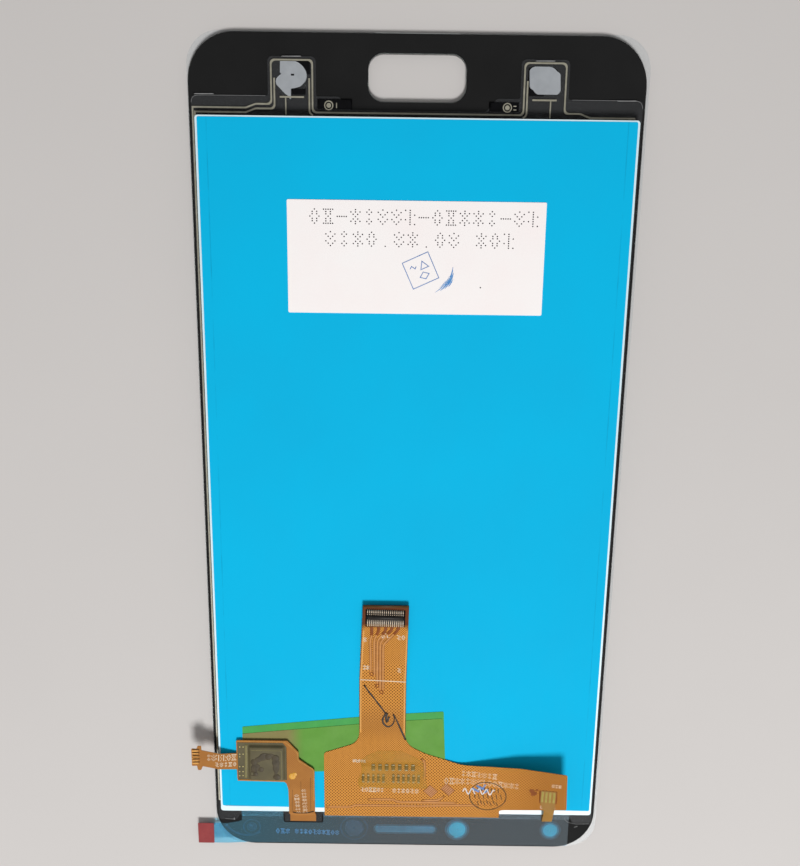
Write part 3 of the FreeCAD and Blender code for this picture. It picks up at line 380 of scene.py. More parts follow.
def hump(x: Array, y: Array, box: Sequence[float], slope: float) -> Array:
    """Height of a soft step round a box, from 0 to 1.

    Args:
        x: Points in plan.
        y: Points in plan.
        box: Left, low, right and upper side of the level top.
        slope: Width of the sloping sides.

    Returns:
        1 over the box, falling to 0 at slope from it as 3t^2 - 2t^3 of the share t that is left.
    """
    out_x = np.maximum(np.maximum(box[0] - x, x - box[2]), 0)
    out_y = np.maximum(np.maximum(box[1] - y, y - box[3]), 0)
    t = np.clip(1 - np.hypot(out_x, out_y) / slope, 0, 1)
    return t**2 * (3 - 2 * t)


def keep_apart(gap: float, *nodes: str) -> None:
    """Draw the faces of clear layers back a little, so that they don't lie in their neighbours' faces.

    Args:
        gap: How far each face moves inwards, in millimetres.
        nodes: Names of the nodes.
    """
    for name in nodes:
        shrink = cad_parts[name].modifiers.new("apart", "DISPLACE")
        shrink.mid_level = 0.0
        shrink.strength = -gap * MM


def turned_points(points: Sequence[Sequence[float]], centre: Sequence[float], turn: float) -> Array:
    """Turn points about the origin by an angle in degrees, then move them by a centre."""
    c, s = math.cos(math.radians(turn)), math.sin(math.radians(turn))
    local = np.array(points, float)
    return np.stack([centre[0] + local[:, 0] * c - local[:, 1] * s,
                     centre[1] + local[:, 0] * s + local[:, 1] * c], axis=1)


class Glyph(Enum):
    """Plain ornaments, five dots by seven, that stand where the real part has print."""

    DIAMOND = "diamond"
    HOURGLASS = "hourglass"
    ZIGZAG = "zigzag"
    CHEVRONS = "chevrons"
    TWINS = "twins"
    SPARK = "spark"
    DASH = "dash"
    STOP = "stop"
    GAP = "gap"

    def dots(self) -> Array:
        """Places of the dots in the cell, as columns from -2 to 2 and rows from -3 to 3."""
        column, row = np.meshgrid(np.arange(5) - 2, np.arange(7) - 3)
        masks = {
            Glyph.DIAMOND: np.round(abs(row) * 0.67) + abs(column) == 2,
            Glyph.HOURGLASS: (abs(row) == 3) | (abs(column) == np.round(abs(row) * 0.67)),
            Glyph.ZIGZAG: (column == abs((row + 3) % 4 - 2) * 2 - 2) | (row % 2 != 0) & (column == 0),
            Glyph.CHEVRONS: (row + 3 - abs(column)) % 3 == 0,
            Glyph.TWINS: abs(abs(row) - 2) + abs(column) == 1,
            Glyph.SPARK: (abs(column) == abs(row)) | (column == 0) & (abs(row) > 1),
            Glyph.DASH: row == 0,
            Glyph.STOP: (row == -3) & (column == 0),
            Glyph.GAP: column > 2,
        }
        mask = masks[self]
        return np.stack([column[mask], row[mask]], axis=1).astype(float)


ORNAMENTS = (Glyph.DIAMOND, Glyph.ZIGZAG, Glyph.CHEVRONS, Glyph.TWINS, Glyph.SPARK, Glyph.HOURGLASS)


def ornaments(count: int, step: int, first: int = 0) -> list[Glyph]:
    """A run of ornaments that don't repeat at once: every step-th one of the list, round and round."""
    return [ORNAMENTS[(first + step * i + i // 3) % len(ORNAMENTS)] for i in range(count)]


def print_row(glyphs: Sequence[Glyph], advance: float, pitch: float, start: Sequence[float],
              turn: float = 0.0) -> Array:
    """Places of all the dots of one printed row.

    Args:
        glyphs: Shapes in their order.
        advance: Distance from one cell to the next.
        pitch: Distance from one dot to the next in a cell.
        start: Middle of the first cell, as x and y.
        turn: Angle of the row in degrees.

    Returns:
        The dots' middles, as x and y.
    """
    cells = [glyph.dots() * pitch + np.array([advance * i, 0.0]) for i, glyph in enumerate(glyphs)]
    return turned_points(np.concatenate(cells), start, turn)


# Shader graphs

class Graph:
    """Node tree of one material or group, with short calls for what the finishes need."""

    def __init__(self, tree: bpy.types.NodeTree) -> None:
        """Keep the tree that the nodes go into."""
        self.tree = tree

    def add(self, kind: str, inputs: dict[Any, Any] | None = None, **settings: Any) -> bpy.types.Node:
        """Add one node.

        Args:
            kind: Type of the node, without its ShaderNode prefix.
            inputs: Values or sockets for its inputs, by name or number.
            settings: Properties of the node.

        Returns:
            The new node.
        """
        node = self.tree.nodes.new("ShaderNode" + kind)
        for name, value in settings.items():
            setattr(node, name, value)
        for name, value in (inputs or {}).items():
            if isinstance(value, bpy.types.NodeSocket):
                self.tree.links.new(value, node.inputs[name])
            else:
                node.inputs[name].default_value = value
        return node

    def place(self) -> bpy.types.NodeSocket:
        """Object coordinates."""
        return self.add("TexCoord").outputs["Object"]

    def math(self, operation: str, a: Any, b: Any = 0.0, clamp: bool = False) -> bpy.types.NodeSocket:
        """Result of one sum on two values or sockets."""
        return self.add("Math", {0: a, 1: b}, operation=operation, use_clamp=clamp).outputs[0]

    def axes(self) -> tuple[bpy.types.NodeSocket, bpy.types.NodeSocket, bpy.types.NodeSocket]:
        """Object coordinates as three separate values."""
        split = self.add("SeparateXYZ", {0: self.place()})
        return split.outputs[0], split.outputs[1], split.outputs[2]

    def blend(self, share: Any, first: Any, second: Any) -> bpy.types.NodeSocket:
        """Mix two colours.

        Args:
            share: Value or socket from 0, the first colour, to 1, the second.
            first: First colour or socket.
            second: Second colour or socket.

        Returns:
            The colour socket.
        """
        node = self.add("Mix", data_type="RGBA")
        for index, value in ((0, share), (6, first), (7, second)):
            if isinstance(value, bpy.types.NodeSocket):
                self.tree.links.new(value, node.inputs[index])
            elif index == 0:
                node.inputs[0].default_value = value
            else:
                node.inputs[index].default_value = (*value, 1.0)
        return node.outputs[2]

    def group(self, tree: bpy.types.NodeTree, **inputs: Any) -> bpy.types.Node:
        """Place a shared effect in this graph.

        Args:
            tree: The effect's group.
            inputs: Values or sockets for its named inputs, with _ for a space.

        Returns:
            The group's node.
        """
        named = {name.replace("_", " "): value for name, value in inputs.items()}
        node = self.tree.nodes.new("ShaderNodeGroup")
        node.node_tree = tree
        for name, value in named.items():
            if isinstance(value, bpy.types.NodeSocket):
                self.tree.links.new(value, node.inputs[name])
            else:
                node.inputs[name].default_value = value
        return node


class Effects:
    """Node groups that several finishes share, each built once."""

    def __init__(self) -> None:
        """Build the groups."""
        self.grain = self._grain()
        self.scuffs = self._scuffs()
        self.lattice = self._lattice()
        self.field = self._field()

    @staticmethod
    def _open(name: str, inputs: dict[str, float | str], outputs: Sequence[str]) -> tuple[Graph, Any, Any]:
        """Start a group.

        Args:
            name: Name of the group.
            inputs: Inputs, each with its starting value, or "vector".
            outputs: Names of the value outputs.

        Returns:
            The graph, the group's input node and its output node.
        """
        tree = bpy.data.node_groups.new(name, "ShaderNodeTree")
        for label, value in inputs.items():
            kind = "NodeSocketVector" if value == "vector" else "NodeSocketFloat"
            socket = tree.interface.new_socket(name=label, in_out="INPUT", socket_type=kind)
            if value != "vector":
                socket.default_value = value
        for label in outputs:
            tree.interface.new_socket(name=label, in_out="OUTPUT", socket_type="NodeSocketFloat")
        return Graph(tree), tree.nodes.new("NodeGroupInput"), tree.nodes.new("NodeGroupOutput")

    def _grain(self) -> bpy.types.NodeTree:
        """Cloudy variation between two values: noise, spread and fitted between Low and High."""
        graph, given, made = self._open(
            "cloudy_grain", {"Vector": "vector", "Scale": 200.0, "Low": 0.0, "High": 1.0}, ["Value"])
        noise = graph.add("TexNoise", {"Vector": given.outputs["Vector"], "Scale": given.outputs["Scale"],
                                       "Detail": 4.0, "Roughness": 0.55})
        fitted = graph.add("MapRange", {"Value": noise.outputs["Fac"], "From Min": 0.3, "From Max": 0.7,
                                        "To Min": given.outputs["Low"], "To Max": given.outputs["High"]})
        graph.tree.links.new(fitted.outputs[0], made.inputs["Value"])
        return graph.tree

    def _scuffs(self) -> bpy.types.NodeTree:
        """Fine handling marks: the ridge of a noise stretched along Y, where it passes Amount."""
        graph, given, made = self._open(
            "handling_scuffs", {"Vector": "vector", "Scale": 60.0, "Amount": 0.5}, ["Mask"])
        long = graph.add("VectorMath", {0: given.outputs["Vector"], 1: (9.0, 1.0, 1.0)}, operation="MULTIPLY")
        noise = graph.add("TexNoise", {"Vector": long.outputs[0], "Scale": given.outputs["Scale"],
                                       "Detail": 6.0, "Roughness": 0.7, "Distortion": 0.6})
        ridge = graph.math("ABSOLUTE", graph.math("SUBTRACT", noise.outputs["Fac"], 0.5))
        sharp = graph.math("SUBTRACT", 1.0, graph.math("MULTIPLY", ridge, 28.0), clamp=True)
        graph.tree.links.new(graph.math("MULTIPLY", sharp, given.outputs["Amount"]), made.inputs["Mask"])
        return graph.tree

    def _lattice(self) -> bpy.types.NodeTree:
        """Diagonal mesh of copper: two sets of lines at 45 degrees, Pitch apart, each Share wide.

        The sum and the difference of X and Y, over the pitch, give a wave each. Line is near 1 on
        the lines and 0 in the openings between them.
        """
        graph, given, made = self._open(
            "copper_lattice", {"Vector": "vector", "Pitch": 0.0003, "Share": 0.5}, ["Line"])
        split = graph.add("SeparateXYZ", {0: given.outputs["Vector"]})
        waves = []
        for operation in ("ADD", "SUBTRACT"):
            along = graph.math(operation, split.outputs[0], split.outputs[1])
            turns = graph.math("DIVIDE", along, given.outputs["Pitch"])
            saw = graph.math("PINGPONG", turns, 0.5)
            waves.append(graph.math("MULTIPLY", saw, 2.0))
        line = graph.math("MINIMUM", waves[0], waves[1])
        softened = graph.add("MapRange", {"Value": line, "From Min": given.outputs["Share"],
                                          "From Max": graph.math("ADD", given.outputs["Share"], 0.25)})
        inverse = graph.math("SUBTRACT", 1.0, softened.outputs[0])
        graph.tree.links.new(inverse, made.inputs["Line"])
        return graph.tree

    def _field(self) -> bpy.types.NodeTree:
        """Soft-edged box in plan: the product of four ramps, Soft wide, at its four sides."""
        graph, given, made = self._open(
            "soft_field", {"Vector": "vector", "Left": 0.0, "Right": 1.0, "Low": 0.0, "Top": 1.0,
                           "Soft": 0.001}, ["Mask"])
        split = graph.add("SeparateXYZ", {0: given.outputs["Vector"]})
        ramps = []
        for axis, first, second in ((0, "Left", "Right"), (1, "Low", "Top")):
            inside = graph.math("SUBTRACT", split.outputs[axis], given.outputs[first])
            ramps.append(graph.math("DIVIDE", inside, given.outputs["Soft"], clamp=True))
            inside = graph.math("SUBTRACT", given.outputs[second], split.outputs[axis])
            ramps.append(graph.math("DIVIDE", inside, given.outputs["Soft"], clamp=True))
        pairs = [graph.math("MULTIPLY", ramps[0], ramps[1]), graph.math("MULTIPLY", ramps[2], ramps[3])]
        graph.tree.links.new(graph.math("MULTIPLY", *pairs), made.inputs["Mask"])
        return graph.tree


EFFECTS = Effects()


@dataclass(frozen=True)
class Finish:
    """Finish of one surface: a main colour with cloudy variation, gloss and a little unevenness.

    The fields are the colour, a second colour that clouds mix in, the size of the clouds in
    millimetres, roughness and its spread, the depth of the unevenness, and how clear it is.
    """

    name: str
    colour: Colour
    clouds: Colour
    cloud_size: float = 8.0
    roughness: float = 0.4
    spread: float = 0.06
    metallic: float = 0.0
    specular: float = 0.5
    transmission: float = 0.0
    refraction: float = 1.5
    opacity: float = 1.0
    unevenness: float = 0.02
    grain_size: float = 0.4
    scuffs: float = 0.0

    def build(self) -> bpy.types.Material:
        """Build the material, or find the one that is there.

        Returns:
            The material, with colour, roughness and normal worked out from object coordinates.
        """
        title = self.name + "_finish"
        found = bpy.data.materials.get(title)
        if found is not None:
            return found
        material = bpy.data.materials.new(title)
        material.use_nodes = True
        graph = Graph(material.node_tree)
        shader = material.node_tree.nodes["Principled BSDF"]
        place = graph.place()
        clouds = graph.group(EFFECTS.grain, Vector=place, Scale=1 / (self.cloud_size * MM), Low=0.0, High=1.0)
        colour = graph.blend(clouds.outputs[0], self.colour, self.clouds)
        rough = graph.group(EFFECTS.grain, Vector=place, Scale=0.7 / (self.cloud_size * MM),
                            Low=max(0.02, self.roughness - self.spread), High=self.roughness + self.spread)
        rough_value = rough.outputs[0]
        if self.scuffs > 0:
            marks = graph.group(EFFECTS.scuffs, Vector=place, Scale=60.0, Amount=self.scuffs)
            rough_value = graph.math("ADD", rough_value, marks.outputs[0], clamp=True)
        colour = self.pattern(graph, colour)
        links = material.node_tree.links
        links.new(colour, shader.inputs["Base Color"])
        links.new(rough_value, shader.inputs["Roughness"])
        shader.inputs["Metallic"].default_value = self.metallic
        shader.inputs["IOR"].default_value = self.refraction
        shader.inputs["Specular IOR Level"].default_value = self.specular
        shader.inputs["Transmission Weight"].default_value = self.transmission
        opacity = self.cover(graph)
        if opacity is not None:
            links.new(opacity, shader.inputs["Alpha"])
        else:
            shader.inputs["Alpha"].default_value = self.opacity
        links.new(self.normal(graph, place), shader.inputs["Normal"])
        return material

    def pattern(self, graph: Graph, colour: bpy.types.NodeSocket) -> bpy.types.NodeSocket:
        """Pattern over the clouded colour: none here."""
        return colour

    def cover(self, graph: Graph) -> bpy.types.NodeSocket | None:
        """Opacity that changes over the surface: none here."""
        return None

    def height(self, graph: Graph, place: bpy.types.NodeSocket) -> bpy.types.NodeSocket:
        """Height of the surface in units of the unevenness."""
        return graph.group(EFFECTS.grain, Vector=place, Scale=1 / (self.grain_size * MM),
                           Low=0.0, High=1.0).outputs[0]

    def normal(self, graph: Graph, place: bpy.types.NodeSocket) -> bpy.types.NodeSocket:
        """Normal of the uneven surface."""
        bump = graph.add("Bump", {"Height": self.height(graph, place), "Strength": 1.0,
                                  "Distance": self.unevenness * MM})
        return bump.outputs[0]

    def dress(self, *nodes: str) -> None:
        """Give this finish to nodes of the frame, in place of what they had.

        Args:
            nodes: Names of the nodes.
        """
        material = self.build()
        for name in nodes:
            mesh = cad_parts[name].data
            mesh.materials.clear()
            mesh.materials.append(material)
            log.info("dressed %s as %s", name, self.name)


@dataclass(frozen=True)
class BorderFilmFinish(Finish):
    """Clear blue film of the lower border: it looks greyer from its left end towards the right."""

    blue_end: float = -31.0
    grey_end: float = -4.0
    grey: Colour = (0.60, 0.71, 0.78)

    def pattern(self, graph: Graph, colour: bpy.types.NodeSocket) -> bpy.types.NodeSocket:
        """Blend the clouded blue into grey along the film.

        Args:
            graph: Graph of the material.
            colour: Clouded colour.

        Returns:
            The colour along the film.
        """
        x, _, _ = graph.axes()
        share = graph.add("MapRange", {"Value": x, "From Min": self.blue_end * MM,
                                       "From Max": self.grey_end * MM}).outputs[0]
        return graph.blend(share, colour, self.grey)


@dataclass(frozen=True)
class FilmFinish(Finish):
    """Blue film over the back: a faint darker line runs inside each long edge."""

    left: float = -35.1
    right: float = 35.3
    inset: float = 1.5
    line: Colour = srgb(10, 120, 160)

    def pattern(self, graph: Graph, colour: bpy.types.NodeSocket) -> bpy.types.NodeSocket:
        """Darken the two lines, broken up by clouds.

        Args:
            graph: Graph of the material.
            colour: Clouded colour.

        Returns:
            The colour with its lines.
        """
        x, _, _ = graph.axes()
        for place in (self.left + self.inset, self.right - self.inset):
            away = graph.math("ABSOLUTE", graph.math("SUBTRACT", x, place * MM))
            near = graph.math("SUBTRACT", 1.0, graph.math("DIVIDE", away, 0.12 * MM), clamp=True)
            broken = graph.group(EFFECTS.grain, Vector=graph.place(), Scale=180.0, Low=-0.2, High=0.55)
            share = graph.math("MULTIPLY", near, graph.math("MAXIMUM", broken.outputs[0], 0.0))
            colour = graph.blend(share, colour, self.line)
        return colour


@dataclass(frozen=True)
class FlexFinish(Finish):
    """Amber flex: a diagonal copper mesh shows through it."""

    copper: Colour = srgb(220, 150, 68)
    opening: Colour = srgb(104, 64, 22)
    pitch: float = 0.31
    coarse_pitch: float = 0.43
    line_share: float = 0.30
    mesh_depth: float = 0.95

    def pattern(self, graph: Graph, colour: bpy.types.NodeSocket) -> bpy.types.NodeSocket:
        """Lay the mesh over the clouded colour.

        Args:
            graph: Graph of the material.
            colour: Clouded colour.

        Returns:
            The colour with lighter lines and darker openings.
        """
        place = graph.place()
        fine, coarse = (graph.group(EFFECTS.lattice, Vector=place, Pitch=pitch * math.sqrt(2) * MM,
                                    Share=self.line_share).outputs[0]
                        for pitch in (self.pitch, self.coarse_pitch))
        lines = self.choose(graph, fine, coarse)
        tone = graph.blend(lines, self.opening, self.copper)
        mixed = graph.blend(self.mesh_depth, colour, tone)
        return self.shade(graph, mixed)

    def choose(self, graph: Graph, fine: bpy.types.NodeSocket,
               coarse: bpy.types.NodeSocket) -> bpy.types.NodeSocket:
        """Pick the mesh for each area: the fine one here."""
        return fine

    def shade(self, graph: Graph, colour: bpy.types.NodeSocket) -> bpy.types.NodeSocket:
        """Areas of another tone: none here."""
        return colour


@dataclass(frozen=True)
class DisplayFlexFinish(FlexFinish):
    """Amber flex of the display: coarse mesh on neck and body, dark end over the plug's backing, and painted
    shade on the lifted arm.

    The areas of another tone are boxes in plan, in millimetres. Fields that end far outside the
    flex only bound it on the other sides.
    """

    far: float = 100.0
    fine_patch: tuple[float, float, float, float] = (-20.0, 2.5, -57.5, -45.5)
    neck_sides: tuple[float, float] = (-12.0, 3.0)
    # strength of the painted shade on the lifted arm
    arm_shade_share: float = 0.5
    neck_share: float = 0.45
    backing_low: float = -26.7
    backing_colour: Colour = srgb(104, 58, 34)
    coarse_top: float = -33.8
    arm_left: float = 14.0
    # colour of the painted shade on the lifted arm
    arm_painted_shade: Colour = srgb(130, 78, 26)
    neck_top: float = -42.0
    neck_low: float = -50.0
    neck_colour: Colour = srgb(160, 106, 50)

    def choose(self, graph: Graph, fine: bpy.types.NodeSocket,
               coarse: bpy.types.NodeSocket) -> bpy.types.NodeSocket:
        """Coarse mesh on the neck and the body, fine mesh on the strip and in patches of the body.

        Args:
            graph: Graph of the material.
            fine: Fine mesh.
            coarse: Coarse mesh.

        Returns:
            The mesh of the place.
        """
        strip = self.area(graph, -self.far, self.far, self.coarse_top, self.far, 0.1)
        patch = self.area(graph, *self.fine_patch, 0.6)
        either = graph.math("MAXIMUM", strip, patch)
        kept = graph.math("MULTIPLY", fine, either)
        other = graph.math("MULTIPLY", coarse, graph.math("SUBTRACT", 1.0, either))
        return graph.math("ADD", kept, other)

    def shade(self, graph: Graph, colour: bpy.types.NodeSocket) -> bpy.types.NodeSocket:
        """Darken the plug's end and the neck, and paint shade on the lifted arm.

        Args:
            graph: Graph of the material.
            colour: Colour of the mesh.

        Returns:
            The colour with its darker areas.
        """
        plug = self.area(graph, -self.far, self.far, self.backing_low, self.far, 0.9)
        colour = graph.blend(plug, colour, self.backing_colour)
        # painted shade: a darker tint over the lifted arm, fading in over 12 mm from its left end, in place
        # of the sheen that the flat flex shows
        arm = self.area(graph, self.arm_left, self.far, -self.far, self.far, 12.0)
        colour = graph.blend(graph.math("MULTIPLY", arm, self.arm_shade_share), colour, self.arm_painted_shade)
        neck = self.area(graph, *self.neck_sides, self.neck_low, self.neck_top, 3.0)
        return graph.blend(graph.math("MULTIPLY", neck, self.neck_share), colour, self.neck_colour)

    @staticmethod
    def area(graph: Graph, left: float, right: float, low: float, top: float,
             soft: float) -> bpy.types.NodeSocket:
        """Mask of one box in plan, given in millimetres, with a soft edge inside it."""
        return graph.group(EFFECTS.field, Vector=graph.place(), Left=left * MM, Right=right * MM,
                           Low=low * MM, Top=top * MM, Soft=soft * MM).outputs[0]


@dataclass(frozen=True)
class TapeFinish(Finish):
    """Clear yellow tape: its tint is thicker in some places than others, by clouds."""

    thin: float = 0.42
    thick: float = 0.68

    def cover(self, graph: Graph) -> bpy.types.NodeSocket | None:
        """Opacity between the thin and the thick tint, by clouds of 3 mm.

        Args:
            graph: Graph of the material.

        Returns:
            The opacity.
        """
        return graph.group(EFFECTS.grain, Vector=graph.place(), Scale=330.0, Low=self.thin,
                           High=self.thick).outputs[0]


@dataclass(frozen=True)
class BandTapeFinish(TapeFinish):
    """Tape across the lower part: olive brown at the left, partly painted shade beside the touch board, green
    at the right.
    """

    # olive brown of the tape's left end, partly painted shade beside the touch board
    brown: Colour = srgb(140, 132, 82)
    brown_right: float = -22.8
    green_left: float = -19.0

    def pattern(self, graph: Graph, colour: bpy.types.NodeSocket) -> bpy.types.NodeSocket:
        """Shade the tape from olive brown, partly painted shade, at the left to green at the right.

        Args:
            graph: Graph of the material.
            colour: Clouded green.

        Returns:
            The colour of the place. The share of brown falls evenly between the two limits.
        """
        x, _, _ = graph.axes()
        share = graph.add("MapRange", {"Value": x, "From Min": self.brown_right * MM,
                                       "From Max": self.green_left * MM, "To Min": 1.0, "To Max": 0.0},
                          interpolation_type="SMOOTHSTEP").outputs[0]
        return graph.blend(share, colour, self.brown)


@dataclass(frozen=True)
class InkStroke(Finish):
    """Ink laid by hand: thinner in streaks, so that the ground shows through."""

    thin: float = 0.35
    thick: float = 1.0
    streak: float = 0.5

    def cover(self, graph: Graph) -> bpy.types.NodeSocket | None:
        """Opacity of the stroke, by a noise of the streak's size."""
        return graph.group(EFFECTS.grain, Vector=graph.place(), Scale=1 / (self.streak * MM),
                           Low=self.thin, High=self.thick).outputs[0]


@dataclass(frozen=True)
class Mark(Finish):
    """Small dull mark or line: the same finish for print, copper under the cover, dirt, and painted light and
    shade.
    """

    cloud_size: float = 0.8
    roughness: float = 0.5
    specular: float = 0.15


class Finishes:
    """Every finish of the part, in the order of its layers."""

    clear_film = Finish("clear_film", srgb(200, 215, 220), srgb(215, 225, 230), roughness=0.12, spread=0.04,
                        opacity=0.10, unevenness=0.004, grain_size=6.0)
    glass = Finish("cover_glass", (0.86, 0.93, 0.92), (0.84, 0.92, 0.91), roughness=0.05, spread=0.02,
                   transmission=1.0, unevenness=0.0005, grain_size=8.0)
    black_ink = Mark("black_ink", srgb(32, 32, 32), srgb(37, 37, 37), cloud_size=14.0, specular=0.01,
                     unevenness=0.002, grain_size=1.2)
    grey_ink = Mark("grey_ink", srgb(154, 158, 162), srgb(166, 170, 174), cloud_size=2.0, unevenness=0.004,
                    specular=0.5)
    window_tint = Mark("window_tint", srgb(84, 118, 134), srgb(92, 128, 146), cloud_size=1.5, specular=0.0)
    clear_glue = Finish("clear_glue", srgb(190, 195, 198), srgb(200, 205, 208), roughness=0.2, spread=0.03,
                        opacity=0.02, unevenness=0.002, grain_size=3.0)
    sensor_film = Finish("sensor_film", srgb(70, 70, 72), srgb(82, 82, 84), cloud_size=18.0,
                         roughness=0.4, spread=0.05, specular=0.05, opacity=0.10, unevenness=0.002,
                         grain_size=9.0)
    silver_ink = Mark("silver_ink", srgb(172, 168, 152), srgb(150, 146, 128), cloud_size=1.2, metallic=0.35,
                      unevenness=0.006, grain_size=0.15, specular=0.5)
    polariser = Finish("polariser", srgb(30, 30, 34), srgb(34, 34, 38), roughness=0.18, unevenness=0.003,
                       grain_size=5.0)
    cell_glass = Finish("cell_glass", (0.80, 0.88, 0.86), (0.78, 0.86, 0.85), roughness=0.06, spread=0.02,
                        transmission=0.9, unevenness=0.0005, grain_size=6.0)
    silicon = Finish("silicon", srgb(34, 34, 36), srgb(42, 42, 46), cloud_size=3.0, roughness=0.3,
                     unevenness=0.004)
    black_tape = Finish("black_tape", srgb(22, 22, 22), srgb(30, 30, 30), roughness=0.55, unevenness=0.01)
    optical_film = Finish("optical_film", srgb(226, 230, 234), srgb(234, 238, 242), roughness=0.3,
                          opacity=0.7, unevenness=0.004, grain_size=0.12)
    acrylic = Finish("acrylic", (0.92, 0.95, 0.95), (0.90, 0.94, 0.94), roughness=0.08, spread=0.02,
                     transmission=0.9, unevenness=0.001, grain_size=2.0)
    reflector = Finish("reflector", srgb(228, 232, 234), srgb(236, 240, 242), roughness=0.2, metallic=0.8,
                       unevenness=0.003)
    white_frame = Finish("white_frame", srgb(226, 245, 250), srgb(214, 236, 244), cloud_size=6.0,
                         roughness=0.42, unevenness=0.006, grain_size=0.3)
    blue_film = FilmFinish("blue_film", srgb(12, 187, 234), srgb(16, 182, 229), cloud_size=24.0,
                           roughness=0.6, spread=0.04, specular=0.03, unevenness=0.006, grain_size=11.0,
                           scuffs=0.05)
    paper = Finish("sticker_paper", srgb(255, 251, 249), srgb(255, 247, 245), cloud_size=9.0, roughness=0.62,
                   specular=0.3, unevenness=0.006, grain_size=0.12)
    # its olive brown left end is partly painted shade beside the touch board
    yellow_tape = BandTapeFinish("yellow_tape", srgb(98, 156, 60), srgb(108, 164, 70), cloud_size=4.0,
                                 roughness=0.5, specular=0.08, unevenness=0.015, grain_size=3.5, thin=0.86,
                                 thick=0.95)
    green_tape = TapeFinish("green_tape", srgb(72, 168, 88), srgb(84, 176, 84), cloud_size=4.0,
                            roughness=0.5, specular=0.08, unevenness=0.015, grain_size=3.5, thin=0.8,
                            thick=0.92)
    display_flex = DisplayFlexFinish("display_flex_amber", srgb(200, 138, 62), srgb(188, 126, 54),
                                     cloud_size=4.0, roughness=0.6, specular=0.05, unevenness=0.004,
                                     grain_size=0.3)
    touch_flex = FlexFinish("touch_flex_amber", srgb(172, 116, 58), srgb(158, 103, 51), cloud_size=2.5,
                            roughness=0.6, specular=0.05, unevenness=0.004, grain_size=0.3, mesh_depth=0.4,
                            copper=srgb(184, 128, 68), opening=srgb(132, 83, 40))
    lamp_flex = FlexFinish("lamp_flex_amber", srgb(150, 112, 48), srgb(136, 100, 40), cloud_size=2.0,
                           roughness=0.5, specular=0.15, mesh_depth=0.1)
    backing = Mark("dark_backing", srgb(48, 34, 24), srgb(58, 42, 30), cloud_size=1.5, specular=0.5)
    plug = Mark("plug_black", srgb(30, 28, 27), srgb(42, 38, 35), specular=0.2, unevenness=0.006,
                grain_size=0.1)
    gold = Finish("gold_plate", srgb(226, 210, 190), srgb(204, 184, 158), cloud_size=0.5, roughness=0.4,
                  metallic=0.25, specular=0.3, unevenness=0.003, grain_size=0.1)
    solder = Mark("tail_solder", srgb(140, 124, 46), srgb(170, 154, 78), cloud_size=0.6, unevenness=0.01,
                  grain_size=0.25)
    tinned = Finish("tinned_end", srgb(190, 180, 152), srgb(160, 148, 112), cloud_size=0.6, roughness=0.4,
                    metallic=0.3, specular=0.3, unevenness=0.01, grain_size=0.2)
    edge_light = Mark("edge_light", srgb(126, 126, 126), srgb(150, 150, 150), cloud_size=2.0, specular=0.2,
                      unevenness=0.002)
    ceramic = Mark("chip_ceramic", srgb(96, 82, 54), srgb(70, 60, 42), cloud_size=0.9, specular=0.2,
                   unevenness=0.01, grain_size=0.15)
    cover_film = TapeFinish("cover_film", srgb(208, 164, 46), srgb(184, 148, 46), cloud_size=2.0,
                            roughness=0.45, specular=0.12, unevenness=0.005, grain_size=0.9, thin=0.09,
                            thick=0.22)
    smoke_film = TapeFinish("smoke_film", srgb(104, 96, 70), srgb(92, 86, 64), cloud_size=2.4,
                            roughness=0.5, specular=0.1, unevenness=0.008, grain_size=1.4, thin=0.9,
                            thick=0.97)
    light_blue_film = BorderFilmFinish("light_blue_film", (0.36, 0.78, 1.0), (0.32, 0.75, 0.98),
                                       cloud_size=6.0, roughness=0.1, spread=0.02, specular=0.0,
                                       transmission=0.87, refraction=1.02, unevenness=0.001,
                                       grain_size=5.0)
    red_tab = Finish("red_tab", srgb(150, 64, 64), srgb(140, 58, 60), cloud_size=2.0, roughness=0.55,
                     specular=0.1, unevenness=0.02, grain_size=0.9)
    lamp = Mark("lamp_body", srgb(236, 226, 150), srgb(244, 236, 170), cloud_size=1.0, specular=0.5)
    dot_print = Finish("dot_print", srgb(40, 33, 36), srgb(60, 52, 55), cloud_size=0.4, roughness=0.6,
                       specular=0.2)
    stamp_ink = InkStroke("stamp_ink", srgb(104, 140, 200), srgb(130, 160, 208), cloud_size=0.6,
                          roughness=0.6, specular=0.2, thin=0.6, thick=1.0)
    pen_blue = InkStroke("pen_blue", srgb(20, 128, 210), srgb(70, 158, 222), cloud_size=0.5, roughness=0.5,
                         specular=0.2, thin=0.35, thick=1.0, streak=0.3)
    pen_black = Mark("pen_black", srgb(34, 25, 18), srgb(50, 36, 24), cloud_size=0.6, specular=0.2)
    white_print = InkStroke("white_print", srgb(232, 206, 172), srgb(244, 228, 206), cloud_size=0.4,
                            roughness=0.5, specular=0.1, thin=0.75, thick=1.0, streak=0.25)
    trace_edge = Mark("trace_edge", srgb(158, 98, 38), srgb(148, 90, 34))
    trace_top = Mark("trace_top", srgb(206, 143, 76), srgb(196, 133, 66))
    plain_flex = Mark("plain_flex", srgb(222, 162, 84), srgb(214, 152, 74))
    # dark edges of the flex, partly painted shade along them and under the strip's raised end
    dark_edge_and_shade = Mark("dark_edge_and_shade", srgb(74, 54, 26), srgb(88, 64, 30))
    warm_gold = Finish("warm_gold", srgb(208, 152, 74), srgb(190, 134, 60), cloud_size=0.5, roughness=0.45,
                       metallic=0.15, specular=0.25)
    comb_copper = Finish("comb_copper", srgb(206, 146, 96), srgb(192, 128, 78), cloud_size=0.8,
                         roughness=0.45, specular=0.2)
    dim_blue = Mark("dim_blue", srgb(36, 54, 72), srgb(40, 58, 78), specular=0.0)
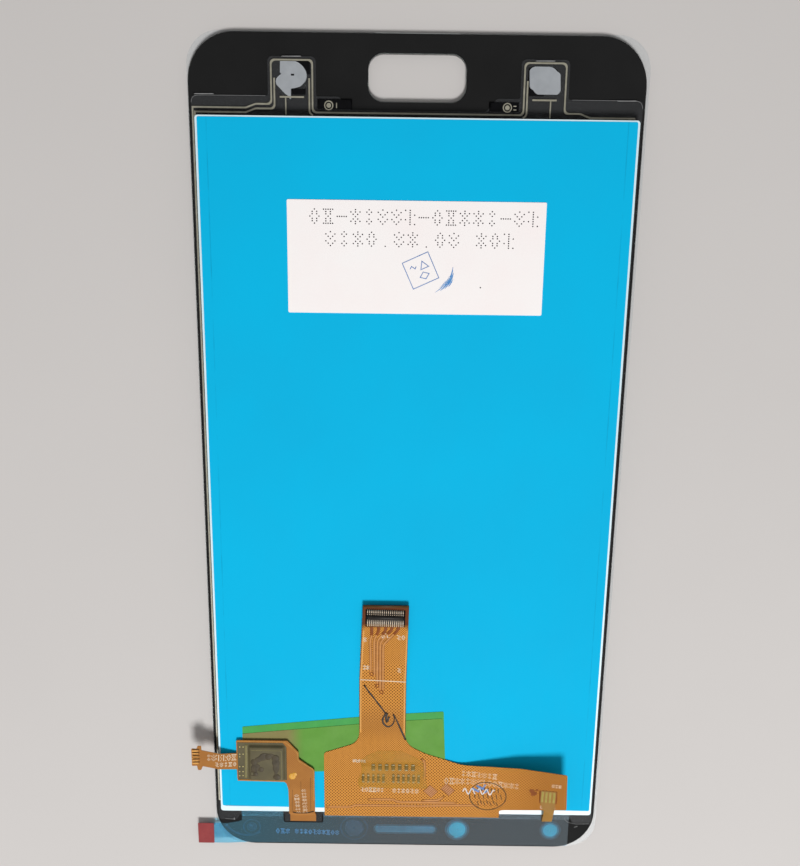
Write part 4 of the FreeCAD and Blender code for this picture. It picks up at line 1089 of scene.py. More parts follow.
    # painted light: glow of the border's two round holes with their halos and haze, and the light seen
    # through the ear slot
    hole_painted_light = Mark("hole_painted_light", srgb(46, 178, 208), srgb(52, 182, 212), specular=0.0)
    halo_painted_light = Mark("halo_painted_light", srgb(42, 122, 146), srgb(40, 116, 140), specular=0.0)
    haze_painted_light = Mark("haze_painted_light", srgb(40, 74, 88), srgb(38, 68, 82), specular=0.0)
    slot_painted_light = Mark("slot_painted_light", srgb(62, 116, 140), srgb(56, 108, 132), cloud_size=1.2, specular=0.0)
    mark_blue = Mark("mark_blue", srgb(92, 132, 174), srgb(84, 124, 164), specular=0.0)
    bare_ink = Mark("bare_ink", srgb(18, 18, 19), srgb(23, 23, 25), cloud_size=3.0, specular=0.0)
    board_blob = Mark("board_blob", srgb(62, 55, 42), srgb(84, 74, 54), cloud_size=1.3, unevenness=0.02,
                      grain_size=0.8)
    trace_start = Finish("trace_start", srgb(140, 76, 32), srgb(126, 68, 28), cloud_size=0.6, roughness=0.55,
                         specular=0.1)
    board_line = Mark("board_line", srgb(186, 132, 60), srgb(166, 116, 50))
    light_khaki = Finish("light_khaki", srgb(128, 120, 78), srgb(118, 110, 70), cloud_size=0.8,
                         roughness=0.45, specular=0.15)
    pale_gold = Finish("pale_gold", srgb(196, 184, 124), srgb(180, 166, 106), cloud_size=0.4, roughness=0.45,
                       specular=0.2)
    glue_yellow = Finish("glue_yellow", srgb(220, 162, 44), srgb(206, 148, 50), cloud_size=0.5, roughness=0.4,
                         specular=0.2)
    brown_mark = Mark("brown_mark", srgb(118, 82, 40), srgb(104, 70, 34), cloud_size=0.6)
    scuffed_white = InkStroke("scuffed_white", srgb(226, 226, 224), srgb(240, 240, 240), cloud_size=0.5,
                              roughness=0.4, thin=0.6, thick=1.0, streak=0.3)


# Sub-assemblies

@dataclass(frozen=True)
class GlassFront:
    """Cover glass with its film, printed border, touch sensor and silver lines."""

    tick_width: float = 0.14
    tick_length: float = 3.2
    top_tick_drop: float = 3.75
    side_tick_drop: float = 9.6
    fiducial_x: float = 14.35
    fiducial_rise: float = 1.9
    key_lift: float = 0.006

    def dress(self) -> None:
        """Give the layers of the front their finishes."""
        Finishes.clear_film.dress("front_film")
        Finishes.glass.dress("cover_glass")
        Finishes.black_ink.dress("ink_border")
        Finishes.window_tint.dress("sensor_windows")
        Finishes.clear_glue.dress("glass_adhesive", "display_adhesive")
        Finishes.sensor_film.dress("touch_sensor")
        Finishes.silver_ink.dress("touch_traces")

    def key_ink(self, rows: Sequence[Sequence[float]], name: str, node: str) -> None:
        """Make one grey patch from the left and right ends of its rows.

        Args:
            rows: Height in plan, left end and right end of measured rows, from the top down.
            name: Name of the piece.
            node: Node that it stands in for.
        """
        table = np.array(rows)[::-1]
        y = np.linspace(table[0, 0], table[-1, 0], 90)
        left, right = (np.interp(y, table[:, 0], table[:, side]) for side in (1, 2))
        x, down = between_sides(y, left, right, 30)
        height = Place.of("touch_sensor").upper + self.key_lift
        piece = sheet(np.stack([x, down, np.full(x.shape, height)], axis=2), 0.01)
        made = piece.to_object(name, Finishes.grey_ink.build())
        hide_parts(node)

    def build_key_patches(self) -> None:
        """Make the grey ink of the key windows: a round head on a pointed foot, and a notched square."""
        self.key_ink([(69.54, -21.88, -19.42), (69.37, -21.89, -18.99), (69.03, -21.89, -18.51),
                      (68.74, -21.9, -18.21), (68.12, -21.91, -17.79), (67.83, -21.92, -17.7),
                      (67.64, -21.7, -17.66), (67.45, -21.95, -17.64), (67.24, -22.23, -17.65),
                      (66.92, -22.51, -17.71), (66.52, -22.61, -17.87), (66.06, -22.53, -18.33),
                      (65.77, -22.26, -18.7), (65.51, -21.99, -19.6), (65.47, -21.96, -20.2),
                      (64.62, -21.08, -20.22), (64.45, -20.78, -20.21), (64.04, -20.48, -20.17),
                      (63.9, -20.39, -20.33)], "key_ink_left", "key_patch_left")
        self.key_ink([(69.22, 18.71, 21.1), (69.08, 18.3, 21.59), (68.78, 17.94, 22.02),
                      (68.54, 17.85, 22.25),
                      (68.31, 17.86, 22.65), (68.04, 17.88, 22.82), (66.25, 17.96, 22.92),
                      (65.95, 18.13, 22.94), (65.65, 18.6, 22.95), (65.44, 18.74, 22.84), (65.2, 19.0, 22.66),
                      (65.05, 19.33, 22.38)], "key_ink_right", "key_patch_right")
        height = Level(Place.of("touch_sensor").upper + self.key_lift)
        mark = band(np.array([(-20.17, 67.54), (-19.65, 67.53)]), 0.32, 0.006, height)
        mark.to_object("key_ink_hole", Finishes.bare_ink.build())

    def build_bare_areas(self) -> bpy.types.Object:
        """Make the blacker areas inside the key loops and beside the fiducial marks."""
        ground = Level(Place.of("touch_sensor").upper)
        middles = np.array([(-18.3, 68.6), (-18.95, 65.0), (-13.2, 63.2), (19.0, 66.9), (14.0, 63.1)])
        sizes = np.array([(2.4, 2.0), (2.2, 0.9), (5.6, 1.5), (2.6, 4.2), (4.8, 1.4)])
        areas = blocks(middles, sizes, 0.0, 0.002, ground)
        return areas.to_object("bare_ink_areas", Finishes.bare_ink.build())

    def build_film_edges(self) -> bpy.types.Object:
        """Make the bright line along the upper edge of the sensor film, beside its left shoulder."""
        ground = Level(Place.of("touch_sensor").upper)
        paths = [[(-36.25, 63.2), (-36.15, 63.9), (-35.6, 64.28), (-34.0, 64.32), (-24.3, 64.36)],
                 [(36.3, 63.1), (36.1, 63.9), (35.5, 64.25), (33.6, 64.3), (24.9, 64.3)]]
        lines = [band(spread(bend_round(path, 0.5), 0.4), 0.05, 0.008, ground) for path in paths]
        return Patch.joined(lines).to_object("film_edge_light", Finishes.edge_light.build())

    def build_foot_marks(self) -> bpy.types.Object:
        """Make the bent line and spot at the left foot, and the curved lines at the right one."""
        ground = Level(Place.of("touch_sensor").upper)
        ink = Level(Place.of("ink_border").upper)
        right = [(30.99, -67.31), (31.56, -68.1), (33.16, -68.56), (36.0, -68.46)]
        marks = [band(spread(bend_round([(-35.1, -68.3), (-33.35, -68.45), (-33.32, -68.0)], 0.2), 0.3), 0.07,
                      0.01, ground),
                 band(spread(bend_round(right, 0.6), 0.3), 0.06, 0.01, ground),
                 blocks(np.array([(33.27, -69.4), (33.6, -69.25)]), np.array([0.35, 0.14]), 12.0, 0.01, ink),
                 blocks(np.array([(-33.3, -68.4)]), np.array([0.22, 0.3]), 0.0, 0.014, ground)]
        return Patch.joined(marks).to_object("foot_marks", Finishes.edge_light.build())

    def build_ticks(self) -> bpy.types.Object:
        """Make the short printed lines near the upper corners and beside the keys."""
        glass = Place.of("cover_glass")
        sensor = Place.of("touch_sensor")
        ground = Level(sensor.upper)
        top_y = glass.top - self.top_tick_drop
        side_y = glass.top - self.side_tick_drop
        middles = [(-20.08, top_y + 0.04), (20.31, top_y - 0.17), (-34.18, side_y + 0.12),
                   (33.67, side_y - 0.13)]
        patch = blocks(np.array(middles), np.array([self.tick_length, self.tick_width]), 0.7, 0.012, ground)
        return patch.to_object("border_ticks", Finishes.edge_light.build())

    def build_fiducial_strokes(self) -> bpy.types.Object:
        """Make one stroke beside the left ring and two beside the right one."""
        module = Place.of("backlight_frame")
        ground = Level(Place.of("touch_sensor").upper)
        y = module.top + self.fiducial_rise
        left = -self.fiducial_x + 0.19 + 1.25
        right = self.fiducial_x + 0.19 + 1.2
        middles = np.array([(left, y), (right, y + 0.25), (right, y - 0.3)])
        sizes = np.array([(0.16, 0.9), (0.55, 0.14), (0.55, 0.14)])
        return blocks(middles, sizes, 0.0, 0.012, ground).to_object(
            "fiducial_strokes", Finishes.silver_ink.build())

    def build(self) -> None:
        """Dress the layers and make the marks on them."""
        self.dress()
        keep_apart(0.004, "front_film", "glass_adhesive", "display_adhesive", "touch_sensor")
        self.build_key_patches()
        self.build_bare_areas()
        self.build_film_edges()
        self.build_foot_marks()
        self.build_ticks()
        self.build_fiducial_strokes()


@dataclass(frozen=True)
class DisplayModule:
    """Liquid crystal cell and backlight, with the blue film over the back."""

    def dress(self) -> None:
        """Give the layers of the module their finishes."""
        Finishes.polariser.dress("front_polariser", "rear_polariser")
        Finishes.cell_glass.dress("colour_filter_glass", "array_glass")
        Finishes.silicon.dress("driver_ic")
        Finishes.black_tape.dress("shading_tape")
        Finishes.optical_film.dress("prism_film_upper", "prism_film_lower", "diffuser_film")
        Finishes.acrylic.dress("light_guide")
        Finishes.lamp.dress("leds")
        Finishes.reflector.dress("reflector")
        Finishes.white_frame.dress("backlight_frame")
        Finishes.blue_film.dress("back_film")
        Finishes.green_tape.dress("flex_tape_lower")
        Finishes.yellow_tape.dress("flex_tape_upper")
        Finishes.lamp_flex.dress("backlight_flex")
        Finishes.solder.dress("tail_solder")

    def build(self) -> None:
        """Dress the layers."""
        self.dress()
        keep_apart(0.003, "flex_tape_lower", "flex_tape_upper", "colour_filter_glass", "light_guide")


@dataclass(frozen=True)
class Sticker:
    """White sticker with two rows of dotted print, a square stamp and a pen smear."""

    dot_radius: float = 0.135
    dot_pitch: float = 0.37
    ink_rise: float = 0.008
    row_turn: float = -0.1
    first_row: tuple[float, float] = (3.54 + 0.95, -2.6)
    first_advance: float = 2.23
    second_row: tuple[float, float] = (6.28 + 0.8, -6.15)
    second_advance: float = 2.25
    stamp_centre: tuple[float, float] = (21.96, -11.1)
    stamp_side: float = 4.6
    stamp_turn: float = 24.5

    def ground(self) -> Level:
        """Upper face of the sticker."""
        return Level(Place.of("label").upper)

    def corner(self) -> Array:
        """Upper left corner of the sticker, from which the print is placed."""
        label = Place.of("label")
        return np.array([label.left, label.top])

    def build_print(self) -> bpy.types.Object:
        """Make the dots of both rows as one piece."""
        first = ornaments(17, 5)
        first[2] = first[8] = first[14] = Glyph.DASH
        second = ornaments(14, 1, 2)
        second[4] = second[7] = Glyph.STOP
        second[10] = Glyph.GAP
        corner = self.corner()
        dots = np.concatenate([
            print_row(first, self.first_advance, self.dot_pitch, corner + self.first_row, self.row_turn),
            print_row(second, self.second_advance, self.dot_pitch, corner + self.second_row, self.row_turn)])
        patch = drums(dots, self.dot_radius, self.ink_rise, self.ground())
        return patch.to_object("sticker_print", Finishes.dot_print.build())

    def build_stamp(self) -> bpy.types.Object:
        """Make the square outline with a triangle, a short wave and a diamond in it."""
        centre = self.corner() + self.stamp_centre
        half = self.stamp_side / 2
        square = turned_points([(-half, -half), (half, -half), (half, half), (-half, half)], centre,
                               self.stamp_turn)
        ground = self.ground()
        marks = [band(square, 0.17, self.ink_rise, ground, closed=True),
                 band(turned_points([(0.1, 0.1), (1.5, 0.1), (0.8, 1.3)], centre, self.stamp_turn), 0.17,
                      self.ink_rise, ground, closed=True),
                 band(turned_points([(-1.5, 0.9), (-1.1, 1.2), (-0.7, 0.6), (-0.4, 0.9)], centre,
                                    self.stamp_turn), 0.17, self.ink_rise, ground),
                 band(turned_points([(-0.5, -1.0), (0.3, -0.4), (1.1, -1.0), (0.3, -1.6)], centre,
                                    self.stamp_turn), 0.17, self.ink_rise, ground, closed=True)]
        return Patch.joined(marks).to_object("sticker_stamp", Finishes.stamp_ink.build())

    def build_smear(self) -> bpy.types.Object:
        """Make the pen smear: five arcs side by side, thick in the middle and thin at the ends."""
        label = Place.of("label")
        centre = (label.middle_x + 0.9, label.middle_y - 1.1)
        strokes = []
        for radius, start, end, width in ((5.25, -52, -2, 0.34), (5.0, -62, -20, 0.16), (5.5, -44, -12, 0.30),
                                          (5.75, -38, -22, 0.16), (4.82, -50, -30, 0.10)):
            path = arc(centre, (radius, radius), start, end, 30)
            share = np.linspace(0, 1, len(path))
            taper = width * np.sin(math.pi * np.clip(share, 0.02, 0.98)) ** 0.8 + 0.02
            strokes.append(band(path, taper, self.ink_rise, self.ground()))
        return Patch.joined(strokes).to_object("sticker_smear", Finishes.pen_blue.build())

    def build(self) -> None:
        """Dress the sticker and make its marks."""
        Finishes.paper.dress("label")
        self.build_print()
        self.build_stamp()
        self.build_smear()
        speck = np.array([(11.02, 34.54)])
        drums(speck, 0.13, 0.02, self.ground()).to_object("sticker_speck", Finishes.dot_print.build())


@dataclass(frozen=True)
class FlexGround:
    """Upper face of the display flex: level, then bent up along the arm and along the strip.

    Past a bend's start the face rises as radius minus the root of radius squared less distance
    squared, up to the bend's angle, and goes on straight at that angle.
    """

    level: float
    arm_start: tuple[float, float] = (18.626, -64.717)
    arm_heading: float = 43.0
    arm_lift: float = 11.5
    arm_radius: float = 8.0
    neck_low: float = -48.3
    strip_start: float = -37.1
    strip_lift: float = 2.6
    strip_radius: float = 30.0
    thickness: float = 0.12

    def rise(self, past: Array, radius: float, angle: float) -> Array:
        """Rise of the face at a distance past the middle of a bend.

        Args:
            past: Distance past the crossing of the two straight parts.
            radius: Radius of the lower face.
            angle: Angle of the bend in degrees.

        Returns:
            The rise over the level part.
        """
        turn = math.radians(angle)
        inner = radius - self.thickness
        run = past + radius * math.tan(turn / 2)
        curved = np.clip(run, 0, inner * math.sin(turn))
        straight = np.maximum(run - inner * math.sin(turn), 0)
        return inner - np.sqrt(inner**2 - curved**2) + straight * math.tan(turn)

    def __call__(self, x: Array, y: Array) -> Array:
        """Height of the face at points in plan."""
        heading = math.radians(self.arm_heading)
        past = (x - self.arm_start[0]) * math.cos(heading) + (y - self.arm_start[1]) * math.sin(heading)
        arm = self.rise(past, self.arm_radius, self.arm_lift)
        strip = self.rise(y - self.strip_start, self.strip_radius, self.strip_lift)
        return self.level + np.where(y > self.neck_low, strip, arm)


@dataclass(frozen=True)
class DisplayFlex:
    """Amber flex with plug, chips, copper traces, stamps and pen marks."""

    trace_rise: float = 0.012
    edge_rise: float = 0.006
    trace_top_width: float = 0.30
    trace_edge_width: float = 0.60
    pen_width: float = 0.30
    seat_gap: float = 0.02
    contact_count: int = 18
    contact_reach: float = 3.2

    def ground(self) -> FlexGround:
        """Upper face of the flex, level with the foot of the chips."""
        return FlexGround(Place.of("component_cover").bottom)

    def strip_paths(self) -> list[Array]:
        """Lines that run from the plug down the strip, each with its bends rounded."""
        routes = [
            [(-6.65, -26.0), (-6.68, -28.4), (-6.98, -29.1), (-6.85, -31.5), (-6.8, -35.7)],
            [(-5.4, -26.0), (-5.42, -27.3), (-6.2, -28.8), (-6.16, -36.47)],
            [(-4.08, -26.0), (-4.1, -27.0), (-5.62, -29.1), (-5.6, -38.17)],
            [(-2.97, -26.0), (-3.0, -26.8), (-5.1, -29.5), (-5.06, -39.41)],
            [(-1.72, -26.0), (-1.9, -26.9), (-4.58, -29.9), (-4.52, -39.41)],
        ]
        return [bend_round(route, 0.5) for route in routes]

    def build_traces(self) -> None:
        """Make the copper lines of the strip and of the body: dark edges and lighter tops."""
        ground = self.ground()
        body = [[(-15.2, -63.98), (-10.5, -63.98), (-9.8, -63.55), (2.86, -63.58), (9.88, -63.3),
                 (14.0, -63.3)],
                [(-7.27, -62.23), (-2.14, -62.24), (-1.5, -62.75), (9.88, -62.81)],
                [(3.13, -62.32), (6.2, -62.32), (7.4, -61.3)],
                [(2.9, -53.2), (3.5, -54.1), (3.5, -57.9)]]
        routes = self.strip_paths() + [bend_round(route, 0.5) for route in body]
        edges = [band(spread(route, 0.7), self.trace_edge_width, self.edge_rise, ground) for route in routes]
        tops = [band(spread(route, 0.7), self.trace_top_width, self.trace_rise, ground) for route in routes]
        starts = [band(spread(route, 0.4)[:6], 0.62, 0.018, ground) for route in self.strip_paths()]
        loops = [band(arc(middle, (0.32, 0.32), 0, 345, 18), 0.2, 0.022, ground, closed=True)
                 for middle in ((-6.62, -35.95), (-5.6, -38.35), (-4.79, -39.6))]
        Patch.joined(starts + loops).to_object("flex_trace_starts", Finishes.trace_start.build())
        Patch.joined(edges).to_object("flex_trace_edges", Finishes.trace_edge.build())
        Patch.joined(tops).to_object("flex_traces", Finishes.trace_top.build())

    def build_edges(self) -> None:
        """Make the unmeshed margins of the strip, its dark edges with painted shade along them, and the dark
        line at its raised end.
        """
        ground = self.ground()
        left = [(-8.28, -26.5), (-8.86, -37.1), (-8.86, -48.0)]
        right = [(0.04, -26.5), (-0.28, -37.1), (-0.28, -48.0)]
        margins = [band(spread(np.array(side) + (shift, 0), 0.8), 0.34, 0.010, ground)
                   for side, shift in ((left, 0.2), (right, -0.2))]
        Patch.joined(margins).to_object("flex_margins", Finishes.plain_flex.build())
        outer = [[(-8.22, -22.2), (-8.84, -37.1), (-8.84, -48.0)],
                 [(0.02, -22.2), (-0.26, -37.1), (-0.26, -48.0)]]
        # the flex's own dark edges, with painted shade along them
        edges = [band(spread(np.array(side), 0.8), 0.10, 0.014, ground) for side in outer]
        # dark line at the raised end: the stiffener's side and painted shade under it
        edges.append(band(np.array([(-8.2, -22.27), (0.0, -22.27)]), 0.3, 0.014, ground))
        Patch.joined(edges).to_object("flex_edges_and_shade", Finishes.dark_edge_and_shade.build())

    def build_tail_marks(self) -> None:
        """Make the dark field round the soldered fingers, a blotch beside it and the foot's marks."""
        ground = self.ground()
        place = Place.of("tail_solder")
        field = blocks(np.array([(place.middle_x, place.middle_y)]), np.array([3.5, 3.1]), 3.0, 0.012, ground)
        blotch = drums(np.array([(23.75, -58.9), (24.3, -59.35), (23.9, -59.7), (24.7, -58.5)]),
                       np.array([0.55, 0.5, 0.35, 0.3]), np.array([0.010, 0.014, 0.018, 0.022]), ground)
        Patch.joined([field, blotch]).to_object("tail_field", Finishes.trace_start.build())
        rows = [print_row(ornaments(4, 5), 0.75, 0.13, (25.8, -62.4), -4.0),
                print_row(ornaments(3, 1, 2), 0.6, 0.12, (27.6, -57.2), 0.0)]
        dots = drums(np.concatenate(rows), 0.08, 0.02, ground)
        dots.to_object("tail_print", Finishes.white_print.build())

    def build_plug(self) -> None:
        """Make the plug: a brown seat, a black body with a rib, and two rows of contacts."""
        place = Place.of("board_connector")
        seat_level = place.bottom + self.seat_gap

        def lift(x: Array, y: Array) -> Array:
            """Height of the strip under the plug, from its lower end up at the strip's angle."""
            return seat_level + (np.asarray(y) - place.low) * math.tan(math.radians(FlexGround.strip_lift))

        middle_x, middle_y = place.middle_x, place.middle_y
        wide = place.right - place.left
        deep = place.top - place.low
        seat = blocks(np.array([(middle_x, middle_y)]), np.array([wide, deep]), 0.0, 0.05, lift)
        seat_piece = seat.to_object("plug_seat", Finishes.brown_mark.build())
        body = [blocks(np.array([(middle_x, middle_y + 0.25)]), np.array([wide, 2.95]), -1.2, 0.3, lift),
                blocks(np.array([(middle_x, middle_y + 0.38)]), np.array([wide, 0.75]), -1.2, 0.66, lift)]
        piece = Patch.joined(body).to_object("plug_body", Finishes.plug.build())
        for made in (seat_piece, piece):
            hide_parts("board_connector")
        x = np.linspace(middle_x - self.contact_reach, middle_x + self.contact_reach, self.contact_count)
        tilt = -(x - middle_x) * 0.024
        bars = ((1.42, (0.17, 0.62), 0.42), (0.92, (0.2, 0.14), 0.5), (-0.62, (0.18, 1.05), 0.42),
                (-1.32, (0.15, 0.5), 0.2))
        rows = [blocks(np.stack([x, middle_y + up + tilt], axis=1), np.array(size), 0.0, rise, lift)
                for up, size, rise in bars]
        contacts = Patch.joined(rows).to_object("plug_contacts", Finishes.gold.build())
        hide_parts("connector_contacts")

    def build_combs(self) -> None:
        """Make the two diamond-shaped copper fields of short slanting fingers."""
        ground = self.ground()
        fields = [((4.75, -60.35), 1.9, 2.0, 47.0), ((8.0, -59.9), 1.6, 2.2, 47.0)]
        fingers, grounds = [], []
        for centre, length, width, turn in fields:
            size = np.array([length + 0.3, width + 0.3])
            grounds.append(blocks(np.array([centre]), size, turn, 0.008, ground))
            offsets = np.linspace(-width / 2 + 0.15, width / 2 - 0.15, 6)
            middles = turned_points(np.stack([np.zeros(6), offsets], axis=1), centre, turn)
            fingers.append(blocks(middles, np.array([length, 0.19]), turn, 0.016, ground))
        Patch.joined(grounds).to_object("comb_fields", Finishes.trace_edge.build())
        Patch.joined(fingers).to_object("comb_fingers", Finishes.comb_copper.build())

    def build_prints(self) -> None:
        """Make the white cut line and the plain marks where the flex has print."""
        ground = self.ground()
        line = band(spread(np.array([(-8.8, -37.13), (-0.32, -37.5)]), 0.8), 0.20, 0.014, ground)
        rows = [print_row(ornaments(14, 5), 1.02, 0.20, (7.7, -58.05), -0.5),
                print_row(ornaments(7, 1, 3), 0.98, 0.18, (10.9, -56.35), -0.5),
                print_row(ornaments(6, 5, 1), 0.74, 0.14, (-8.2, -60.1), -1.0),
                print_row(ornaments(6, 1, 2), 0.86, 0.14, (-2.2, -60.25), -1.5),
                print_row(ornaments(2, 1), 0.8, 0.14, (-4.6, -28.2), 10.0),
                print_row(ornaments(2, 5, 1), 0.8, 0.14, (-1.7, -28.4), 0.0),
                print_row(ornaments(1, 1, 4), 0.8, 0.14, (-7.9, -28.9), 0.0),
                print_row(ornaments(2, 1, 3), 0.6, 0.13, (-8.0, -34.6), 0.0),
                print_row(ornaments(1, 1, 1), 0.6, 0.13, (-1.6, -35.1), 0.0),
                print_row(ornaments(6, 5, 2), 0.5, 0.09, (-9.9, -54.0), 0.0)[:60]]
        dots = drums(np.concatenate(rows), 0.10, 0.012, ground)
        Patch.joined([line, dots]).to_object("flex_white_print", Finishes.white_print.build())

    def build_pen_marks(self) -> bpy.types.Object:
        """Make the slanting pen line and the loop below it."""
        ground = self.ground()
        line = [(-8.03, -38.18), (-7.38, -39.24), (-5.74, -41.46), (-4.00, -43.96)]
        slant = spread(bend_round(line, 1.0), 0.5)
        loop = [(-3.73, -43.75), (-4.25, -44.5), (-4.62, -45.3), (-4.3, -46.3), (-3.6, -46.8),
                (-2.85, -46.55),
                (-2.35, -45.7), (-2.35, -44.7), (-2.75, -43.75), (-2.3, -44.5), (-1.94, -45.31),
                (-1.16, -47.17), (-0.19, -49.46)]
        curl = spread(bend_round(loop, 0.6, 7), 0.3)
        widths = self.pen_width * (1.0 + 0.3 * np.sin(np.linspace(0, 9, len(curl))))
        hook = [(-3.6, -43.9), (-3.95, -44.9), (-3.75, -45.9), (-3.3, -44.6)]
        inner = spread(bend_round(hook, 0.3, 5), 0.25)
        strokes = [band(slant, self.pen_width * 1.1, 0.012, ground), band(inner, 0.42, 0.014, ground)]
        patch = Patch.joined([*strokes, band(curl, widths, 0.016, ground)])
        return patch.to_object("flex_pen_marks", Finishes.pen_black.build())

    def build_ring_stamp(self) -> bpy.types.Object:
        """Make the round ink stamp: a ring with rows of short upright strokes in it."""
        ground = self.ground()
        centre = np.array([15.66, -61.05])
        strokes = [band(arc(centre, (3.45, 3.15), 0, 354, 60), 0.19, 0.02, ground, closed=True)]
        for row, (y, half, length) in enumerate(((1.35, 1.9, 1.1), (-0.15, 2.5, 1.2), (-1.65, 1.8, 1.0))):
            x = np.linspace(-half, half, 7)
            middles = centre + np.stack([x, np.full(7, y) + 0.15 * np.sin(5 * x + row)], axis=1)
            strokes.append(blocks(middles, np.array([0.17, length]), 4.0 + 9 * row, 0.022, ground))
        return Patch.joined(strokes).to_object("flex_ring_stamp", Finishes.pen_black.build())

    def build_blue_strokes(self) -> bpy.types.Object:
        """Make the blue ink in the upper left of the stamp."""
        ground = self.ground()
        strokes = [blocks(np.array(middles), np.array(size), turn, rise, ground)
                   for middles, size, turn, rise in (
                       ([(14.2, -59.3), (13.3, -59.9)], (1.7, 0.5), -28.0, 0.026),
                       ([(15.4, -60.0), (14.9, -59.0)], (1.3, 0.3), 62.0, 0.028))]
        return Patch.joined(strokes).to_object("flex_blue_strokes", Finishes.stamp_ink.build())

    def build_white_pen(self) -> bpy.types.Object:
        """Make the white pen strokes: a wave in two parts, beside and across the stamp."""
        ground = self.ground()
        x = np.linspace(10.9, 16.9, 60)
        wave = np.stack([x, -60.2 + 0.62 * np.sin(4.6 * x)], axis=1)
        first, second = wave[:24], wave[28:]
        strokes = [band(route, 0.24, 0.032, ground) for route in (first, second)]
        return Patch.joined(strokes).to_object("flex_white_pen", Finishes.scuffed_white.build())

    def build_chips(self) -> None:
        """Make both rows of chips with their tinned ends, in place of the plain blocks."""
        ground = self.ground()
        upper = np.stack([np.linspace(-6.2, 1.3, 7), np.full(7, -55.28)], axis=1)
        lower = np.stack([np.linspace(-8.1, 2.4, 12)[[0, 1, 2, 3, 4, 6, 7, 8, 9, 10, 11]],
                          np.full(11, -57.63)], axis=1)
        bodies = Patch.joined([blocks(upper, np.array([0.75, 0.8]), 0.0, 0.2, ground),
                               blocks(lower, np.array([0.5, 1.0]), 0.0, 0.22, ground)])
        piece = bodies.to_object("flex_chips", Finishes.ceramic.build())
        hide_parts("flex_components")
        ends = [blocks(middles + (0, side * reach), np.array(size), 0.0, rise, ground)
                for middles, reach, size, rise in ((upper, 0.52, (0.7, 0.3), 0.17),
                                                   (lower, 0.68, (0.46, 0.42), 0.19))
                for side in (-1, 1)]
        Patch.joined(ends).to_object("chip_ends", Finishes.tinned.build())

    def build_cover(self) -> bpy.types.Object:
        """Make the clear cover: a soft sheet that drapes over the chips, wider at its foot."""
        ground = self.ground()
        y = np.linspace(-59.75, -51.75, 60)
        shoulder = np.clip((y + 54.3) / 2.4, 0, 1) ** 1.4
        left = -8.75 + 0.35 * np.sin(1.1 * y) + 3.4 * shoulder
        right = 3.55 - 0.15 * (y + 56) - 3.6 * shoulder
        x, y_grid = between_sides(y, left, right, 70)
        over = hump(x, y_grid, (-7.9, -58.6, 2.4, -55.2), 1.2)
        folds = 0.015 * np.sin(3.1 * x + 1.7 * y_grid) * np.cos(2.3 * y_grid)
        z = ground(x, y_grid) + 0.03 + 0.22 * over + np.abs(folds)
        drape = sheet(np.stack([x, y_grid, z], axis=2), 0.02)
        piece = drape.to_object("component_drape", Finishes.cover_film.build())
        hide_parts("component_cover")
        return piece

    def build(self) -> None:
        """Dress the flex and its pieces, and make what is printed and drawn on it."""
        Finishes.display_flex.dress("display_flex")
        Finishes.backing.dress("flex_stiffener")
        self.build_plug()
        self.build_tail_marks()
        self.build_traces()
        self.build_edges()
        self.build_combs()
        self.build_prints()
        self.build_pen_marks()
        self.build_ring_stamp()
        self.build_blue_strokes()
        self.build_white_pen()
        self.build_chips()
        self.build_cover()


@dataclass(frozen=True)
class TouchGround:
    """Upper face of the touch flex: level on the board, down along the leg and up along the tail."""

    thickness: float = 0.10
    leg: tuple[tuple[float, float], ...] = ((-68.55, 1.055), (-67.1, 1.055), (-65.55, 2.735), (-63.0, 2.735),
                                            (-59.9, 3.135))
    tail: tuple[tuple[float, float], ...] = ((-41.3, 3.935), (-35.1, 3.735), (-32.3, 3.135), (-31.0, 3.135))

    def __call__(self, x: Array, y: Array) -> Array:
        """Height of the face: the higher run of the tail, or the lower run of the leg."""
        leg = np.interp(y, *np.array(self.leg).T)
        tail = np.interp(x, *np.array(self.tail).T)
        return np.where(np.asarray(x) < -32.0, tail, leg) + self.thickness


